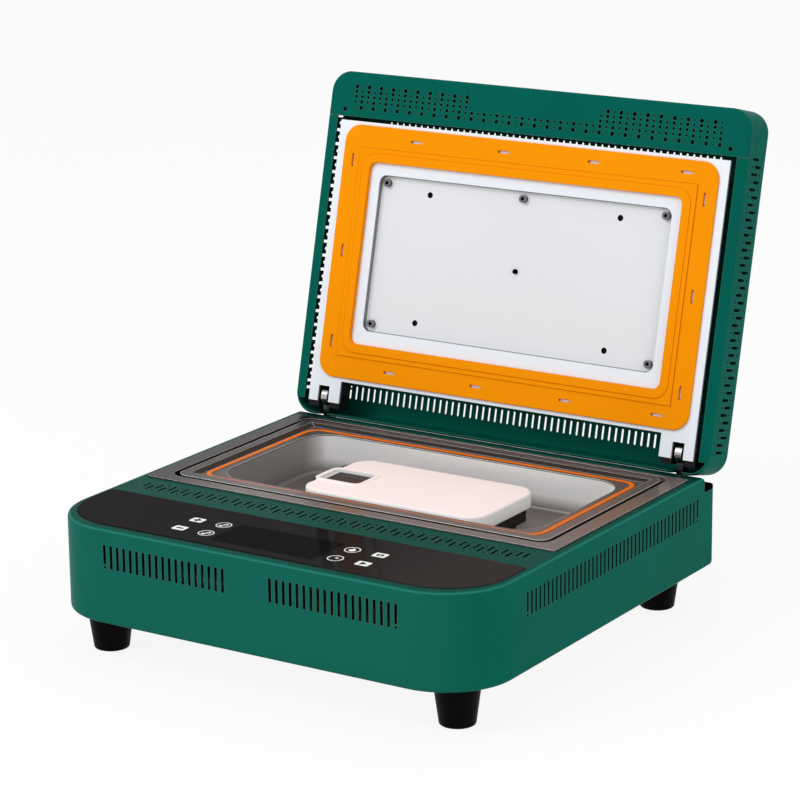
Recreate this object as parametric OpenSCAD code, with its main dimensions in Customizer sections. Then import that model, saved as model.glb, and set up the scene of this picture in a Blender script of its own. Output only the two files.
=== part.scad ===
// Benchtop vacuum sublimation press for phone cases, lid open, in millimetres.
// The base stands on its feet at z = 0, the control panel faces -Y and the lid leans back over +Y.

/* [Base housing] */
// Width of the base and of the lid
body_w = 350; // [330:1:380]
// Depth of the base from front to back
base_d = 332; // [326:1:350]
// Height of the top face above the table
top_z = 99; // [96:0.5:110]
// Height of the underside above the table, which is the height of the feet
foot_h = 30.6; // [24:0.2:34]
// Radius of the two front upright corners
front_corner_r = 50; // [40:1:60]
// Radius of the two rear upright corners
rear_corner_r = 6; // [5:0.5:12]
// Rounding of the top and bottom edges
edge_r = 3; // [2:0.25:4]
// Sheet thickness of the housings
sheet_t = 1.6; // [1.2:0.1:2]
// Thickness of the bottom plate
plate_t = 1.5; // [1.2:0.1:2]
// Width of the lip that carries the bottom plate
lip_w = 14; // [12:0.5:16]
// Depth of the step under the hinge from front to back
trough_d = 17.4; // [16:0.1:18]
// Drop of the step under the hinge below the top face
trough_drop = 10.8; // [9:0.1:13]
// Thickness of the black strip on the step
strip_t = 2.2; // [1.5:0.1:3]

/* [Vent slots] */
// Width of one slot
slot_w = 2.3; // [1.6:0.1:2.8]
// Distance from one slot to the next on the front and the top
slot_pitch = 5.48; // [5:0.02:6]
// Number of slots in each group on the front
front_slots = 19; // [8:1:20]
// Bare width between the two groups on the front
front_gap = 38.2; // [30:0.2:60]
// Length of the slots on the front and the sides
slot_len = 17; // [12:0.5:20]
// Height of the top of the slots on the front
front_slot_top = 88; // [80:0.5:90]
// Number of slots on each side
side_slots = 45; // [20:1:45]
// Distance from one slot to the next on the sides
side_pitch = 5.35; // [5:0.01:5.5]
// Centre of the side slots from the middle of the base
side_slot_y = 20.5; // [10:0.5:25]
// Number of slots in the strip behind the control panel
strip_slots = 58; // [30:1:58]
// Centre of that strip from the middle of the base
strip_y = -69; // [-72:0.5:-66]
// Length of one slot of a staggered row
stagger_len = 10.5; // [8:0.5:11]
// Overall width of a staggered row
stagger_w = 15; // [13:0.5:16]
// Diameter of the round hole beside a staggered slot
dot_d = 2; // [1.4:0.1:2.6]

/* [Control panel] */
// Front edge of the panel from the front of the base
panel_margin = 8.5; // [6:0.5:12]
// Edge of the panel from the side of the base
panel_side = 5; // [4:0.5:8]
// Depth of the panel from front to back
panel_d = 68; // [60:0.5:69]
// Thickness of the glass
glass_t = 2; // [1.5:0.1:3]
// How far the glass stands proud
glass_proud = 0.8; // [0.4:0.1:1.2]
// Width of the display
display_w = 83; // [60:1:90]
// Depth of the display
display_d = 38.5; // [30:0.5:40]

/* [Vacuum chamber] */
// How far the chamber lies behind the middle of the lid's seal when closed
tray_shift = 0.5; // [0:0.1:0.8]
// Bare width beside the steel frame on the base
frame_margin = 7; // [6:0.5:9]
// Depth of the steel frame from front to back
frame_d = 188; // [186:1:190]
// How far the frame lies in front of the chamber's middle
frame_shift = 3.3; // [2:0.1:4]
// Thickness of the steel frame and height of the rim
frame_t = 0.9; // [0.8:0.1:1.2]
// Width of the flat band of the frame along the sides
frame_band_x = 11.5; // [10:0.5:13]
// Depth of the opening in the steel frame
frame_in_d = 175; // [173:1:176]
// Gap between the frame and the rim of the chamber
groove_w = 3.8; // [3:0.1:4.5]
// Width of the flat rim along the sides of the chamber
rim_w = 7; // [6:0.2:8]
// Width of the flat rim along the front
rim_front = 8.4; // [7:0.2:9]
// Width of the flat rim along the back
rim_back = 5.5; // [5:0.1:7]
// Width of the slope inside the rim along the sides
slope_w = 4.2; // [3.5:0.1:5]
// Width of the slope inside the rim along the front and back
slope_wy = 3; // [2.5:0.1:3.5]
// Drop of the slope inside the rim
slope_drop = 2.4; // [2:0.1:2.6]
// Width of the step that carries the seal along the sides
step_w = 9.5; // [8.5:0.1:10]
// Width of that step along the front
step_front = 6.8; // [6.8:0.1:8]
// Width of that step along the back
step_back = 9.7; // [8.5:0.1:10]
// Depth of the chamber below the rim
chamber_depth = 32.5; // [30:0.2:38]
// Radius of the upright corners of the chamber
chamber_r = 22; // [14:1:30]
// Radius between the walls and the floor of the chamber
floor_r = 3; // [2:0.5:6]
// Thickness of the drawn steel
steel_t = 1.2; // [0.8:0.1:1.5]
// Width of the seal in the chamber
seal_w = 4.8; // [4:0.1:4.8]
// Height of the seal above its step
seal_h = 0.8; // [0.6:0.1:1.6]

/* [Phone case and mould] */
// Length of the phone case
case_l = 155; // [140:1:165]
// Width of the phone case
case_w = 84; // [70:1:90]
// Thickness of the phone case
case_t = 11; // [8:0.5:14]
// Radius of the corners of the case
case_r = 14; // [10:0.5:18]
// Rounding of the upper edge of the case
case_edge = 2.6; // [2:0.2:4.5]
// Wall of the phone case
case_wall = 2; // [1.4:0.1:2.4]
// How far the case lies in front of the chamber's middle
case_shift = 2.7; // [0:0.1:5]
// Length of the mould
mould_l = 150; // [120:1:150]
// Width of the mould
mould_w = 50; // [40:1:56]
// Height of the base of the mould
mould_base_h = 5; // [4:0.5:8]
// Height of the two mould halves that show under the case
mould_core_h = 8.7; // [6:0.1:10]
// Length of the camera window in the case
window_l = 34; // [26:0.5:38]
// Width of the camera window in the case
window_w = 26; // [20:0.5:36]
// Distance of the camera window from the end of the case
window_end = 2.8; // [2.6:0.1:10]
// Border raised round the camera window
window_rim = 2.5; // [1.5:0.1:2.5]

/* [Lid] */
// Angle of the open lid from closed
open_angle = 103.8; // [95:0.2:104]
// How far the closed lid reaches over the rear edge of the panel
lid_overlap = 0.5; // [-1:0.1:2]
// How far the lid stands out beyond each side of the base
lid_overhang = 2.5; // [0:0.1:4]
// Depth of the lid behind the plate's hinge edge
lid_rear = 10.4; // [9:0.1:10.6]
// Height of the lid housing
lid_h = 33.5; // [30:0.5:36]
// Radius of the upright corners of the lid
lid_corner_r = 16; // [14:0.5:20]
// Rounding of the upper edge of the lid
lid_edge_r = 6; // [4:0.5:8]
// Rounding of the lower edge of the lid
lid_rim_r = 1.5; // [1:0.25:2]
// Width of the turned-in rim along the sides
lid_rim_w = 8; // [6:0.2:8.4]
// Height of the rim above the underside of the plate when closed
lid_rim_lift = 0.5; // [0.3:0.1:1.5]
// Depth of the perforated cover at the front of the lid
cover_d = 34; // [32:0.5:36]
// Height of the perforated cover
cover_h = 5; // [4:0.25:6]
// Number of columns of holes in the cover
cover_cols = 58; // [40:2:58]
// Distance between the columns of holes
cover_pitch = 5.43; // [5:0.01:5.6]
// Number of staggered slots on each side of the lid
lid_side_slots = 40; // [20:1:40]
// Distance between the slots of the lid
lid_pitch = 5.37; // [5:0.01:5.6]
// Number of slots across the top of the lid near the hinge
lid_back_slots = 56; // [30:1:56]
// Width of the finger recess in the front of the lid
grip_w = 90; // [70:1:110]
// Depth of the finger recess
grip_d = 2.6; // [1.5:0.1:3]

/* [Lid plate] */
// How much narrower the white plate is than the base, on each side
face_margin = 9.8; // [9:0.1:12]
// Distance from the white plate to the front of the lid
face_gap = 37; // [36:0.5:40]
// Thickness of the white plate
face_t = 2; // [1.5:0.1:2.5]
// Depth of the hinge tabs
tab_d = 17; // [15:0.5:18]
// Width of each hinge tab
tab_w = 27.5; // [24:0.5:30]
// Border between the seal's opening and the recess, along the sides
recess_band_x = 8.5; // [8:0.5:14]
// Border between the seal's opening and the recess, along the front and back
recess_band_y = 9.75; // [9:0.25:14]
// How deep the recess is pressed
recess_drop = 4.3; // [3:0.1:5]
// Radius of the corners of the recess
recess_r = 6; // [5:0.5:10]

/* [Lid seal] */
// Border of the white plate beside the orange seal
gasket_margin = 6.95; // [6:0.05:8]
// Border of the white plate in front of and behind the orange seal, together
gasket_gap = 5.5; // [4:0.5:8]
// Corner radius of the orange seal
gasket_r = 13; // [10:0.5:16]
// Thickness of the orange seal
gasket_t = 2; // [1.6:0.1:2.4]
// Width of the orange seal along the sides
gasket_band_x = 25.25; // [24:0.25:28]
// Width of the orange seal along the front and back
gasket_band_y = 27; // [26:0.25:29]
// Width of the raised bead round the opening
ridge_w = 7; // [5:0.25:8]
// Height of the raised bead
ridge_h = 1.1; // [0.8:0.1:1.1]
// Half width left between the bead and the square step
square_w = 3.2; // [2:0.1:4]
// Height of the square step
square_h = 0.6; // [0.4:0.1:0.8]

/* [Hinge] */
// Height of the hinge axis above the table
hinge_z = 111.5; // [110:0.1:120]
// Hinge axis from the back of the base
hinge_inset = 8.5; // [8:0.1:9.5]
// Hinge axis from the plate's hinge edge
hinge_u = 4; // [3.6:0.1:4.4]
// Hinge axis above the underside of the plate
hinge_w = 8.3; // [8:0.1:8.8]
// Distance of the hinge arms from the side of the base
arm_inset = 22.7; // [22:0.1:24]
// Thickness of a hinge arm
arm_t = 5.4; // [4:0.1:6]
// Radius of the round head of a hinge arm
arm_r = 7.4; // [6.5:0.1:7.6]
// Radius of the hinge pins
pin_r = 2.5; // [2:0.1:3]
// Width of the slots that the hinge arms pass through
arm_slot = 9.6; // [8:0.2:10]
// Half depth of a hinge arm below its round head
arm_half = 4.2; // [3.5:0.1:4.6]
// How far a hinge block reaches behind the plate's hinge edge
block_rear = 4.4; // [3.8:0.1:6]
// Height of a hinge block
block_h = 13.5; // [12:0.5:17]
// Running clearance round a pin
fit_c = 0.05; // [0.02:0.01:0.1]

/* [Feet and fixings] */
// Diameter of a foot at the top
foot_top_d = 33; // [28:0.5:36]
// Diameter of a foot at the bottom
foot_low_d = 25; // [20:0.5:28]
// Distance of the feet from the sides of the base
foot_inset = 33; // [32:1:45]
// Distance of the front feet from the front of the base
foot_front = 35; // [33:1:45]
// Distance of the rear feet from the back of the base
foot_rear = 25; // [24:1:36]
// Clearance between pieces that rest on each other
seat_c = 0.1; // [0.05:0.01:0.2]

/* [Hidden] */
$fn = 48;
fine = 96;

over = 1;
body_h = top_z - foot_h;
front_y = -base_d / 2;
rear_y = base_d / 2;
trough_front = rear_y - trough_d;
trough_z = top_z - trough_drop;

frame_w = body_w - 2 * frame_margin;
arm_x = body_w / 2 - arm_inset;
foot_x = body_w / 2 - foot_inset;
foot_front_y = base_d / 2 - foot_front;
foot_rear_y = base_d / 2 - foot_rear;
hinge_y = rear_y - hinge_inset;
lid_w = body_w + 2 * lid_overhang;
lid_front = hinge_y + hinge_u - front_y - panel_margin - panel_d + lid_overlap;
face_w = body_w - 2 * face_margin;
face_d = lid_front - face_gap;
plate_u = (face_d + tab_d) / 2 + 0.25;
tray_y = hinge_y + hinge_u - plate_u + tray_shift;
gasket_w = face_w - 2 * gasket_margin;
gasket_d = face_d - tab_d - gasket_gap;
gasket_in_w = gasket_w - 2 * gasket_band_x;
gasket_in_d = gasket_d - 2 * gasket_band_y;
recess_w = gasket_in_w - 2 * recess_band_x;
recess_l = gasket_in_d - 2 * recess_band_y;

// The lid at its open angle reaches furthest back at its upper edge, and the part is centred on its box.
lean_s = sin(open_angle - 90);
lean_c = cos(open_angle - 90);
lid_top_w = lid_rim_lift + lid_h;
lid_reach = hinge_y + (lid_front - lid_edge_r - hinge_u) * lean_s
    + (lid_top_w - lid_edge_r - hinge_w) * lean_c + lid_edge_r;
origin_y = -(front_y + lid_reach) / 2;

green = [0.02, 0.35, 0.29];
orange = [1, 0.58, 0.05];
black = [0.06, 0.06, 0.06];
steel = [0.72, 0.72, 0.73];
white = [0.9, 0.9, 0.91];

// General shapes

// A flat outline with four corner radii, made of squares and circles.
module outline(w, d, rf, rr = -1) {
    r2 = rr < 0 ? rf : rr;
    square([w - 2 * max(rf, r2), d], center = true);
    translate([-w / 2, -d / 2 + rf]) square([w, d - rf - r2]);
    translate([-w / 2 + rf, -d / 2]) square([w - 2 * rf, d / 2]);
    translate([-w / 2 + r2, 0]) square([w - 2 * r2, d / 2]);
    for (s = [-1, 1]) {
        translate([s * (w / 2 - rf), -d / 2 + rf]) intersection() {
            circle(rf, $fn = fine);
            translate([-rf, -rf]) square([2 * rf, rf]);
        }
        translate([s * (w / 2 - r2), d / 2 - r2]) intersection() {
            circle(r2, $fn = fine);
            translate([-r2, 0]) square([2 * r2, r2]);
        }
    }
}

// The section of a slab from its middle to its side, with a rounded upper and lower edge.
module edge_section(len, h, et, eb) {
    difference() {
        square([len, h]);
        translate([len - et, h - et]) difference() {
            square([et + over, et + over]);
            circle(et, $fn = 48);
        }
        translate([len - eb, -over]) difference() {
            square([eb + over, eb + over]);
            translate([0, eb + over]) circle(eb, $fn = 48);
        }
    }
}

// A slab with rounded upright corners and rounded upper and lower edges. Its pieces meet face to face.
module slab(w, d, h, rf, rr, et, eb) {
    hw = w / 2;
    hd = d / 2;
    for (s = [0, 1]) mirror([s, 0, 0]) {
        translate([hw - rf, -hd + rf, 0]) rotate([0, 0, -90])
            rotate_extrude(angle = 90, $fn = fine) edge_section(rf, h, et, eb);
        translate([hw - rr, hd - rr, 0])
            rotate_extrude(angle = 90, $fn = fine) edge_section(rr, h, et, eb);
        translate([hw - rf, hd - rr, 0]) rotate([90, 0, 0])
            linear_extrude(d - rf - rr) edge_section(rf, h, et, eb);
    }
    translate([hw - rf, -hd + rf, 0]) rotate([90, 0, -90])
        linear_extrude(w - 2 * rf) edge_section(rf, h, et, eb);
    if (rr < rf) {
        for (s = [-1, 1]) translate([s > 0 ? hw - rf : -hw + rr, hd - rr, 0])
            rotate([90, 0, 90]) linear_extrude(rf - rr) edge_section(rr, h, et, eb);
    }
    translate([-hw + rf, hd - rr, 0]) rotate([90, 0, 90])
        linear_extrude(w - 2 * rf) edge_section(rr, h, et, eb);
    translate([-hw + rf, -hd + rf, 0]) cube([w - 2 * rf, d - rf - rr, h]);
}

// An upright slot with round ends, as a flat outline, centred.
module slot_shape(w, len) {
    square([w, len - w], center = true);
    for (s = [-1, 1]) translate([0, s * (len - w) / 2]) circle(w / 2, $fn = 20);
}

// One column of a staggered row: a slot at one edge and a round hole at the other.
module stagger(up, dot) {
    s = up ? 1 : -1;
    translate([0, s * (stagger_w - stagger_len) / 2]) slot_shape(slot_w, stagger_len);
    if (dot) translate([0, -s * (stagger_w - dot_d) / 2]) circle(dot_d / 2, $fn = 20);
}

// A staggered row along X, with plain slots at both ends.
module stagger_row(n, pitch) {
    for (k = [0 : n - 1]) translate([(k - (n - 1) / 2) * pitch, 0])
        stagger(k % 2 == 0 || k == n - 1, k > 0 && k < n - 2);
}

// A row of upright slots along X, where the outer one is cut short by a round hole.
module slot_row(n, pitch, len, first, last) {
    for (k = [0 : n - 1]) translate([k * pitch, 0]) {
        short = (k == 0 && first) || (k == n - 1 && last);
        if (short) {
            translate([0, (dot_d + over) / 2]) slot_shape(slot_w, len - dot_d - over);
            translate([0, -(len - dot_d) / 2]) circle(dot_d / 2, $fn = 20);
        } else {
            slot_shape(slot_w, len);
        }
    }
}

module at_pairs(x, y) {
    for (sx = [-1, 1]) for (sy = [-1, 1]) translate([sx * x, sy * y, 0]) children();
}

module screw(head_r, head_h, shank_r, shank_l) {
    difference() {
        union() {
            cylinder(r = head_r, h = head_h, $fn = 32);
            translate([0, 0, -shank_l]) cylinder(r = shank_r, h = shank_l + over / 2, $fn = 24);
        }
        translate([0, 0, head_h / 2]) cylinder(r = head_r * 0.5, h = head_h, $fn = 6);
    }
}

module rounded_plate(w, d, h, r) {
    linear_extrude(h) outline(w, d, r);
}

// Base housing

inner_w = body_w - 2 * sheet_t;
inner_d = base_d - 2 * sheet_t;
floor_z = foot_h + sheet_t;
lip_hole_w = body_w - 2 * lip_w - 2 * sheet_t;
lip_hole_d = base_d - 2 * lip_w - 2 * sheet_t;
lip_hole_r = front_corner_r - lip_w;
frame_in_w = frame_w - 2 * frame_band_x;
frame_hole_w = frame_in_w + 2 * steel_t + 1;
frame_hole_d = frame_in_d + 2 * steel_t + 1;
panel_w = body_w - 2 * panel_side;
panel_y = front_y + panel_margin + panel_d / 2;
panel_seat_z = top_z + glass_proud - glass_t - 0.05;
panel_r = front_corner_r - panel_side;
fan_x = -(body_w / 2 - 87);
fan_size = 50;
fan_z = floor_z + plate_t + fan_size / 2 + 1.5;
inlet_x = body_w / 2 - 75;
inlet_w = 27.5;
inlet_h = 20;
rear_part_z = 60;
switch_x = body_w / 2 - 113;
switch_w = 12.9;
switch_h = 19.4;

module base_cavity() {
    translate([0, 0, floor_z]) linear_extrude(top_z - sheet_t - floor_z) intersection() {
        outline(inner_w, inner_d, front_corner_r - sheet_t, rear_corner_r - sheet_t);
        translate([-body_w / 2, front_y]) square([body_w, trough_front - sheet_t - front_y]);
    }
    translate([0, 0, floor_z]) linear_extrude(trough_z - sheet_t - floor_z)
        outline(inner_w, inner_d, front_corner_r - sheet_t, rear_corner_r - sheet_t);
}

module front_slot_cuts() {
    z = front_slot_top - slot_len / 2;
    for (s = [0, 1]) mirror([s, 0, 0]) translate([front_gap / 2, front_y - over, z]) rotate([90, 0, 180])
        mirror([1, 0, 0]) linear_extrude(sheet_t + 3 * over)
        slot_row(front_slots, slot_pitch, slot_len, false, true);
}

module side_slot_cuts() {
    y0 = side_slot_y - (side_slots - 1) / 2 * side_pitch;
    z = front_slot_top - 2 - slot_len / 2;
    for (s = [0, 1]) mirror([s, 0, 0]) translate([body_w / 2 - sheet_t - over, y0, z]) rotate([90, 0, 90])
        linear_extrude(sheet_t + 2 * over) slot_row(side_slots, side_pitch, slot_len, true, true);
}

module strip_cuts() {
    translate([0, strip_y, top_z - sheet_t - over]) linear_extrude(sheet_t + 2 * over)
        stagger_row(strip_slots, slot_pitch);
}

module rear_cuts() {
    translate([0, rear_y - sheet_t - over, 0]) rotate([-90, 0, 0]) linear_extrude(sheet_t + 2 * over) {
        translate([fan_x, -fan_z]) for (k = [-4 : 4]) {
            half = sqrt(pow(fan_size / 2 - 2, 2) - pow(k * 5, 2));
            translate([0, k * 5]) rotate(90) slot_shape(slot_w, 2 * half);
        }
        translate([fan_x, -fan_z]) for (sx = [-1, 1]) for (sy = [-1, 1])
            translate([sx * (fan_size / 2 - 4), sy * (fan_size / 2 - 4)]) circle(1.6, $fn = 24);
        translate([inlet_x, -rear_part_z]) square([inlet_w + 0.4, inlet_h + 0.4], center = true);
        translate([switch_x, -rear_part_z]) square([switch_w + 0.4, switch_h + 0.4], center = true);
    }
}

module base_shell() {
    color(green) difference() {
        translate([0, 0, foot_h])
            slab(body_w, base_d, body_h, front_corner_r, rear_corner_r, edge_r, edge_r);
        base_cavity();
        translate([0, -sheet_t / 2, foot_h - over]) linear_extrude(sheet_t + 2 * over)
            outline(lip_hole_w, lip_hole_d, lip_hole_r, rear_corner_r);
        translate([-body_w / 2 - over, trough_front, trough_z])
            cube([body_w + 2 * over, trough_d + over, trough_drop + over]);
        translate([-body_w / 2 - over, trough_front, top_z]) rotate([90, 0, 90])
            linear_extrude(body_w + 2 * over) polygon([[-1, 0], [-1, 1], [1, 1], [1, -1], [0, -1]]);
        translate([0, tray_y, top_z - sheet_t - over])
            linear_extrude(sheet_t + 2 * over) square([frame_hole_w, frame_hole_d], center = true);
        panel_pocket();
        arm_holes();
        front_slot_cuts();
        side_slot_cuts();
        strip_cuts();
        rear_cuts();
        foot_places() translate([0, 0, foot_h - over]) cylinder(r = 2.6, h = 2 * sheet_t + over, $fn = 32);
    }
}

module arm_holes() {
    for (s = [-1, 1]) translate([s * arm_x - arm_slot / 2, hinge_y - arm_half - 1, trough_z - sheet_t - over])
        cube([arm_slot, 2 * arm_half + 2, sheet_t + strip_t + 3 * over]);
}

// The recess that takes the glass, with an opening under it for the board.
module panel_pocket() {
    translate([0, panel_y, panel_seat_z]) linear_extrude(glass_t + over)
        outline(panel_w + 0.8, panel_d + 0.8, panel_r + 0.4, 3.4);
    translate([0, panel_y, top_z - 4]) linear_extrude(5)
        outline(panel_w - 16, panel_d - 12, panel_r - 8, 3);
}

module foot_places() {
    for (s = [-1, 1]) {
        translate([s * foot_x, -foot_front_y, 0]) children();
        translate([s * foot_x, foot_rear_y, 0]) children();
    }
}

bottom_w = inner_w - 1;
bottom_d = inner_d - 1;
screw_x = lip_hole_w / 2 + lip_w / 2 - 1;
screw_rows = [-70, 0, 70];

module screw_places() {
    for (s = [-1, 1]) for (y = screw_rows) translate([s * screw_x, y, 0]) children();
    for (x = [-70, 70]) for (s = [-1, 1]) translate([x, s * (lip_hole_d / 2 + lip_w / 2 - 1) - 1, 0]) children();
}

module bottom_plate() {
    color(steel) difference() {
        translate([0, 0, floor_z]) linear_extrude(plate_t)
            outline(bottom_w, bottom_d, front_corner_r - sheet_t - 0.5, rear_corner_r - sheet_t - 0.5);
        translate([0, 60, floor_z - over]) linear_extrude(plate_t + 2 * over)
            slot_row_centred(16, 9, 24);
        translate([0, -90, floor_z - over]) linear_extrude(plate_t + 2 * over)
            slot_row_centred(16, 9, 24);
        foot_places() translate([0, 0, floor_z - over]) cylinder(r = 2.2, h = plate_t + 2 * over, $fn = 32);
    }
}

module slot_row_centred(n, pitch, len) {
    translate([-(n - 1) / 2 * pitch, 0]) slot_row(n, pitch, len, false, false);
}

module bottom_screws() {
    color(steel) screw_places() translate([0, 0, foot_h]) rotate([180, 0, 0]) cylinder(r = 2.6, h = 1.2, $fn = 32);
}

module feet() {
    color(black) foot_places() difference() {
        union() {
            cylinder(r = foot_low_d / 2 - 1.5, h = 1.5, $fn = fine);
            translate([0, 0, 1.5]) rotate_extrude($fn = fine) {
                translate([foot_low_d / 2 - 1.5, 0]) circle(1.5, $fn = 24);
                translate([0, -1.5]) square([foot_low_d / 2 - 1.5, 3]);
            }
            translate([0, 0, 1.5])
                cylinder(r1 = foot_low_d / 2, r2 = foot_top_d / 2, h = foot_h - 1.5 - seat_c, $fn = fine);
        }
        translate([0, 0, -over]) cylinder(r = 5.5, h = 12 + over, $fn = 48);
        cylinder(r = 2.3, h = foot_h + over, $fn = 32);
    }
}

module foot_screws() {
    color(steel) foot_places() {
        translate([0, 0, 11.9]) mirror([0, 0, 1]) cylinder(r = 4.2, h = 3, $fn = 32);
        translate([0, 0, 11]) cylinder(r = 2, h = floor_z + plate_t + 4 - 11, $fn = 32);
        translate([0, 0, floor_z + plate_t + 0.1]) cylinder(r = 4, h = 3.2, $fn = 6);
    }
}

// The black strip that lies on the step and closes it.
module hinge_trough() {
    color(black) difference() {
        translate([0, 0, trough_z + seat_c]) linear_extrude(strip_t) intersection() {
            outline(body_w, base_d, front_corner_r, rear_corner_r);
            translate([-body_w / 2, trough_front + 0.3]) square([body_w, trough_d]);
        }
        arm_holes();
    }
}

// Control panel

module panel_glass() {
    color(black) translate([0, panel_y, panel_seat_z + 0.05]) difference() {
        slab(panel_w, panel_d, glass_t, panel_r, 3, 0.5, 0.2);
        translate([0, -3.5, -over]) linear_extrude(over + 0.8) square([display_w + 2, display_d + 2], center = true);
    }
}

module display_module() {
    color([0.1, 0.1, 0.1]) translate([0, panel_y - 3.5, panel_seat_z + 0.05 + 0.7 - 4.6])
        linear_extrude(4.6) square([display_w, display_d], center = true);
}

board_z = top_z - 14;
board_w = 230;
board_d = 52;

module control_board() {
    color([0.05, 0.3, 0.12]) difference() {
        union() {
            translate([-board_w / 2, panel_y - board_d / 2, board_z]) cube([board_w, board_d, 1.6]);
            translate([-30, panel_y - 20, board_z - 5]) cube([14, 14, 5.2]);
            translate([30, panel_y - 20, board_z - 9]) cube([20, 9, 9.2]);
            translate([60, panel_y + 4, board_z - 11]) cylinder(r = 5, h = 11.2, $fn = 32);
            translate([75, panel_y + 4, board_z - 11]) cylinder(r = 5, h = 11.2, $fn = 32);
            translate([-80, panel_y + 6, board_z - 8]) cube([24, 12, 8.2]);
        }
        for (sx = [-1, 1]) for (sy = [-1, 1])
            translate([sx * (board_w / 2 - 6), panel_y + sy * (board_d / 2 - 6), board_z - over])
            cylinder(r = 1.7, h = 4, $fn = 24);
    }
}

module board_spacers() {
    color(white) for (sx = [-1, 1]) for (sy = [-1, 1])
        translate([sx * (board_w / 2 - 6), panel_y + sy * (board_d / 2 - 6), board_z + 1.6 + seat_c])
        cylinder(r = 3, h = panel_seat_z - board_z - 1.6 - 2 * seat_c, $fn = 6);
    color(white) translate([0, panel_y - 3.5, board_z + 1.6 + seat_c]) linear_extrude(
        panel_seat_z + 0.75 - 4.6 - board_z - 1.6 - 2 * seat_c) square([30, 20], center = true);
}

key_x = [-73.8, -51.8, 53.1, 75];
key_y = [panel_y + 5.2, panel_y - 15.1];

module touch_pads() {
    color(steel) for (x = key_x) for (y = key_y)
        translate([x, y, board_z + 1.6 + seat_c]) cylinder(r = 4.5, h = panel_seat_z - board_z - 1.6 - 2 * seat_c, $fn = 32);
}

// Vacuum chamber

rim_z = top_z + frame_t;
rim_out_w = frame_in_w - 2 * groove_w;
rim_out_d = frame_in_d - 2 * groove_w;
rim_in_w = rim_out_w - 2 * rim_w;
rim_in_d = rim_out_d - rim_front - rim_back;
rim_shift = (rim_front - rim_back) / 2;
step_out_w = rim_in_w - 2 * slope_w;
step_out_d = rim_in_d - 2 * slope_wy;
open_w = step_out_w - 2 * step_w;
open_d = step_out_d - step_front - step_back;
open_shift = rim_shift + (step_front - step_back) / 2;
chamber_floor = rim_z - chamber_depth;
step_z = rim_z - slope_drop;
ledge_z = rim_z - 8;

// A recess with four sloping sides and sharp corners, wide at the top.
module sloped(w1, d1, w2, d2, h) {
    intersection() {
        rotate([90, 0, 0]) translate([0, 0, -d2]) linear_extrude(2 * d2)
            polygon([[-w1 / 2, 0], [w1 / 2, 0], [w2 / 2, h], [-w2 / 2, h]]);
        rotate([90, 0, 90]) translate([0, 0, -w2]) linear_extrude(2 * w2)
            polygon([[-d1 / 2, 0], [d1 / 2, 0], [d2 / 2, h], [-d2 / 2, h]]);
    }
}

module tray_frame() {
    color(steel) translate([0, tray_y, 0]) difference() {
        union() {
            translate([0, -frame_shift, top_z]) linear_extrude(frame_t) square([frame_w, frame_d], center = true);
            translate([0, 0, ledge_z - steel_t]) linear_extrude(top_z - ledge_z + steel_t + 0.1)
                outline(frame_in_w + 2 * steel_t, frame_in_d + 2 * steel_t, 10 + steel_t);
        }
        translate([0, 0, ledge_z]) linear_extrude(20) outline(frame_in_w, frame_in_d, 10);
        translate([0, 0, ledge_z - 10]) linear_extrude(20)
            outline(rim_in_w - 2, rim_out_d - 2 * rim_w - 2, 9);
    }
}

module vacuum_chamber() {
    wall_w = open_w + 2 * steel_t;
    wall_d = open_d + 2 * steel_t;
    low = chamber_floor - steel_t;
    color(steel) translate([0, tray_y, 0]) difference() {
        union() {
            translate([0, 0, rim_z - 4]) linear_extrude(4) outline(rim_out_w, rim_out_d, 8);
            translate([0, open_shift, low]) slab(wall_w, wall_d, rim_z - 1 - low, chamber_r + steel_t,
                chamber_r + steel_t, 0.4, floor_r + steel_t);
        }
        translate([0, rim_shift, step_z]) sloped(step_out_w, step_out_d, rim_in_w, rim_in_d, slope_drop);
        translate([0, rim_shift, rim_z - 0.01]) linear_extrude(2) square([rim_in_w, rim_in_d], center = true);
        translate([0, open_shift, chamber_floor])
            slab(open_w, open_d, chamber_depth + 3, chamber_r, chamber_r, 0.4, floor_r);
        translate([port_x, port_y - tray_y, low - over]) cylinder(r = 4.05, h = 4, $fn = 48);
    }
}

// The dark heat break that carries the rim of the chamber in its frame.
module chamber_gasket() {
    color(black) translate([0, tray_y, ledge_z + seat_c]) difference() {
        linear_extrude(4 - 2 * seat_c) outline(frame_in_w - 0.4, frame_in_d - 0.4, 9.8);
        translate([0, 0, -over]) linear_extrude(6) outline(rim_in_w, rim_out_d - 2 * rim_w, 6);
    }
}

// The seal lies against the foot of the slope, clear of the opening.
module chamber_seal() {
    out_w = step_out_w - 0.2;
    back = rim_shift + step_out_d / 2 - 2.5;
    front = rim_shift - step_out_d / 2 + 0.1;
    z0 = step_z + seat_c;
    color(orange) translate([0, tray_y + (front + back) / 2, z0]) difference() {
        slab(out_w, back - front, seal_h, 9 + seal_w, 9 + seal_w, 0.5, 0.1);
        translate([0, 0, -over]) linear_extrude(seal_h + 2 * over)
            outline(out_w - 2 * seal_w, back - front - 2 * seal_w, 9);
    }
}

// Mould and phone case

case_x = 0.5;
case_y = tray_y - case_shift;
mould_z = chamber_floor + seat_c;
case_z = mould_z + mould_base_h + mould_core_h;
window_x = -case_l / 2 + window_end + window_l / 2;
window_y = -3.8;

module mould_base() {
    color([0.16, 0.15, 0.15]) translate([case_x, case_y, mould_z]) difference() {
        linear_extrude(mould_base_h) outline(mould_l - 8, mould_w - 8, 4);
        for (s = [-1, 1]) translate([s * mould_l / 4, 0, mould_base_h - 3]) cylinder(r = 3.05, h = 4, $fn = 32);
    }
}

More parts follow.
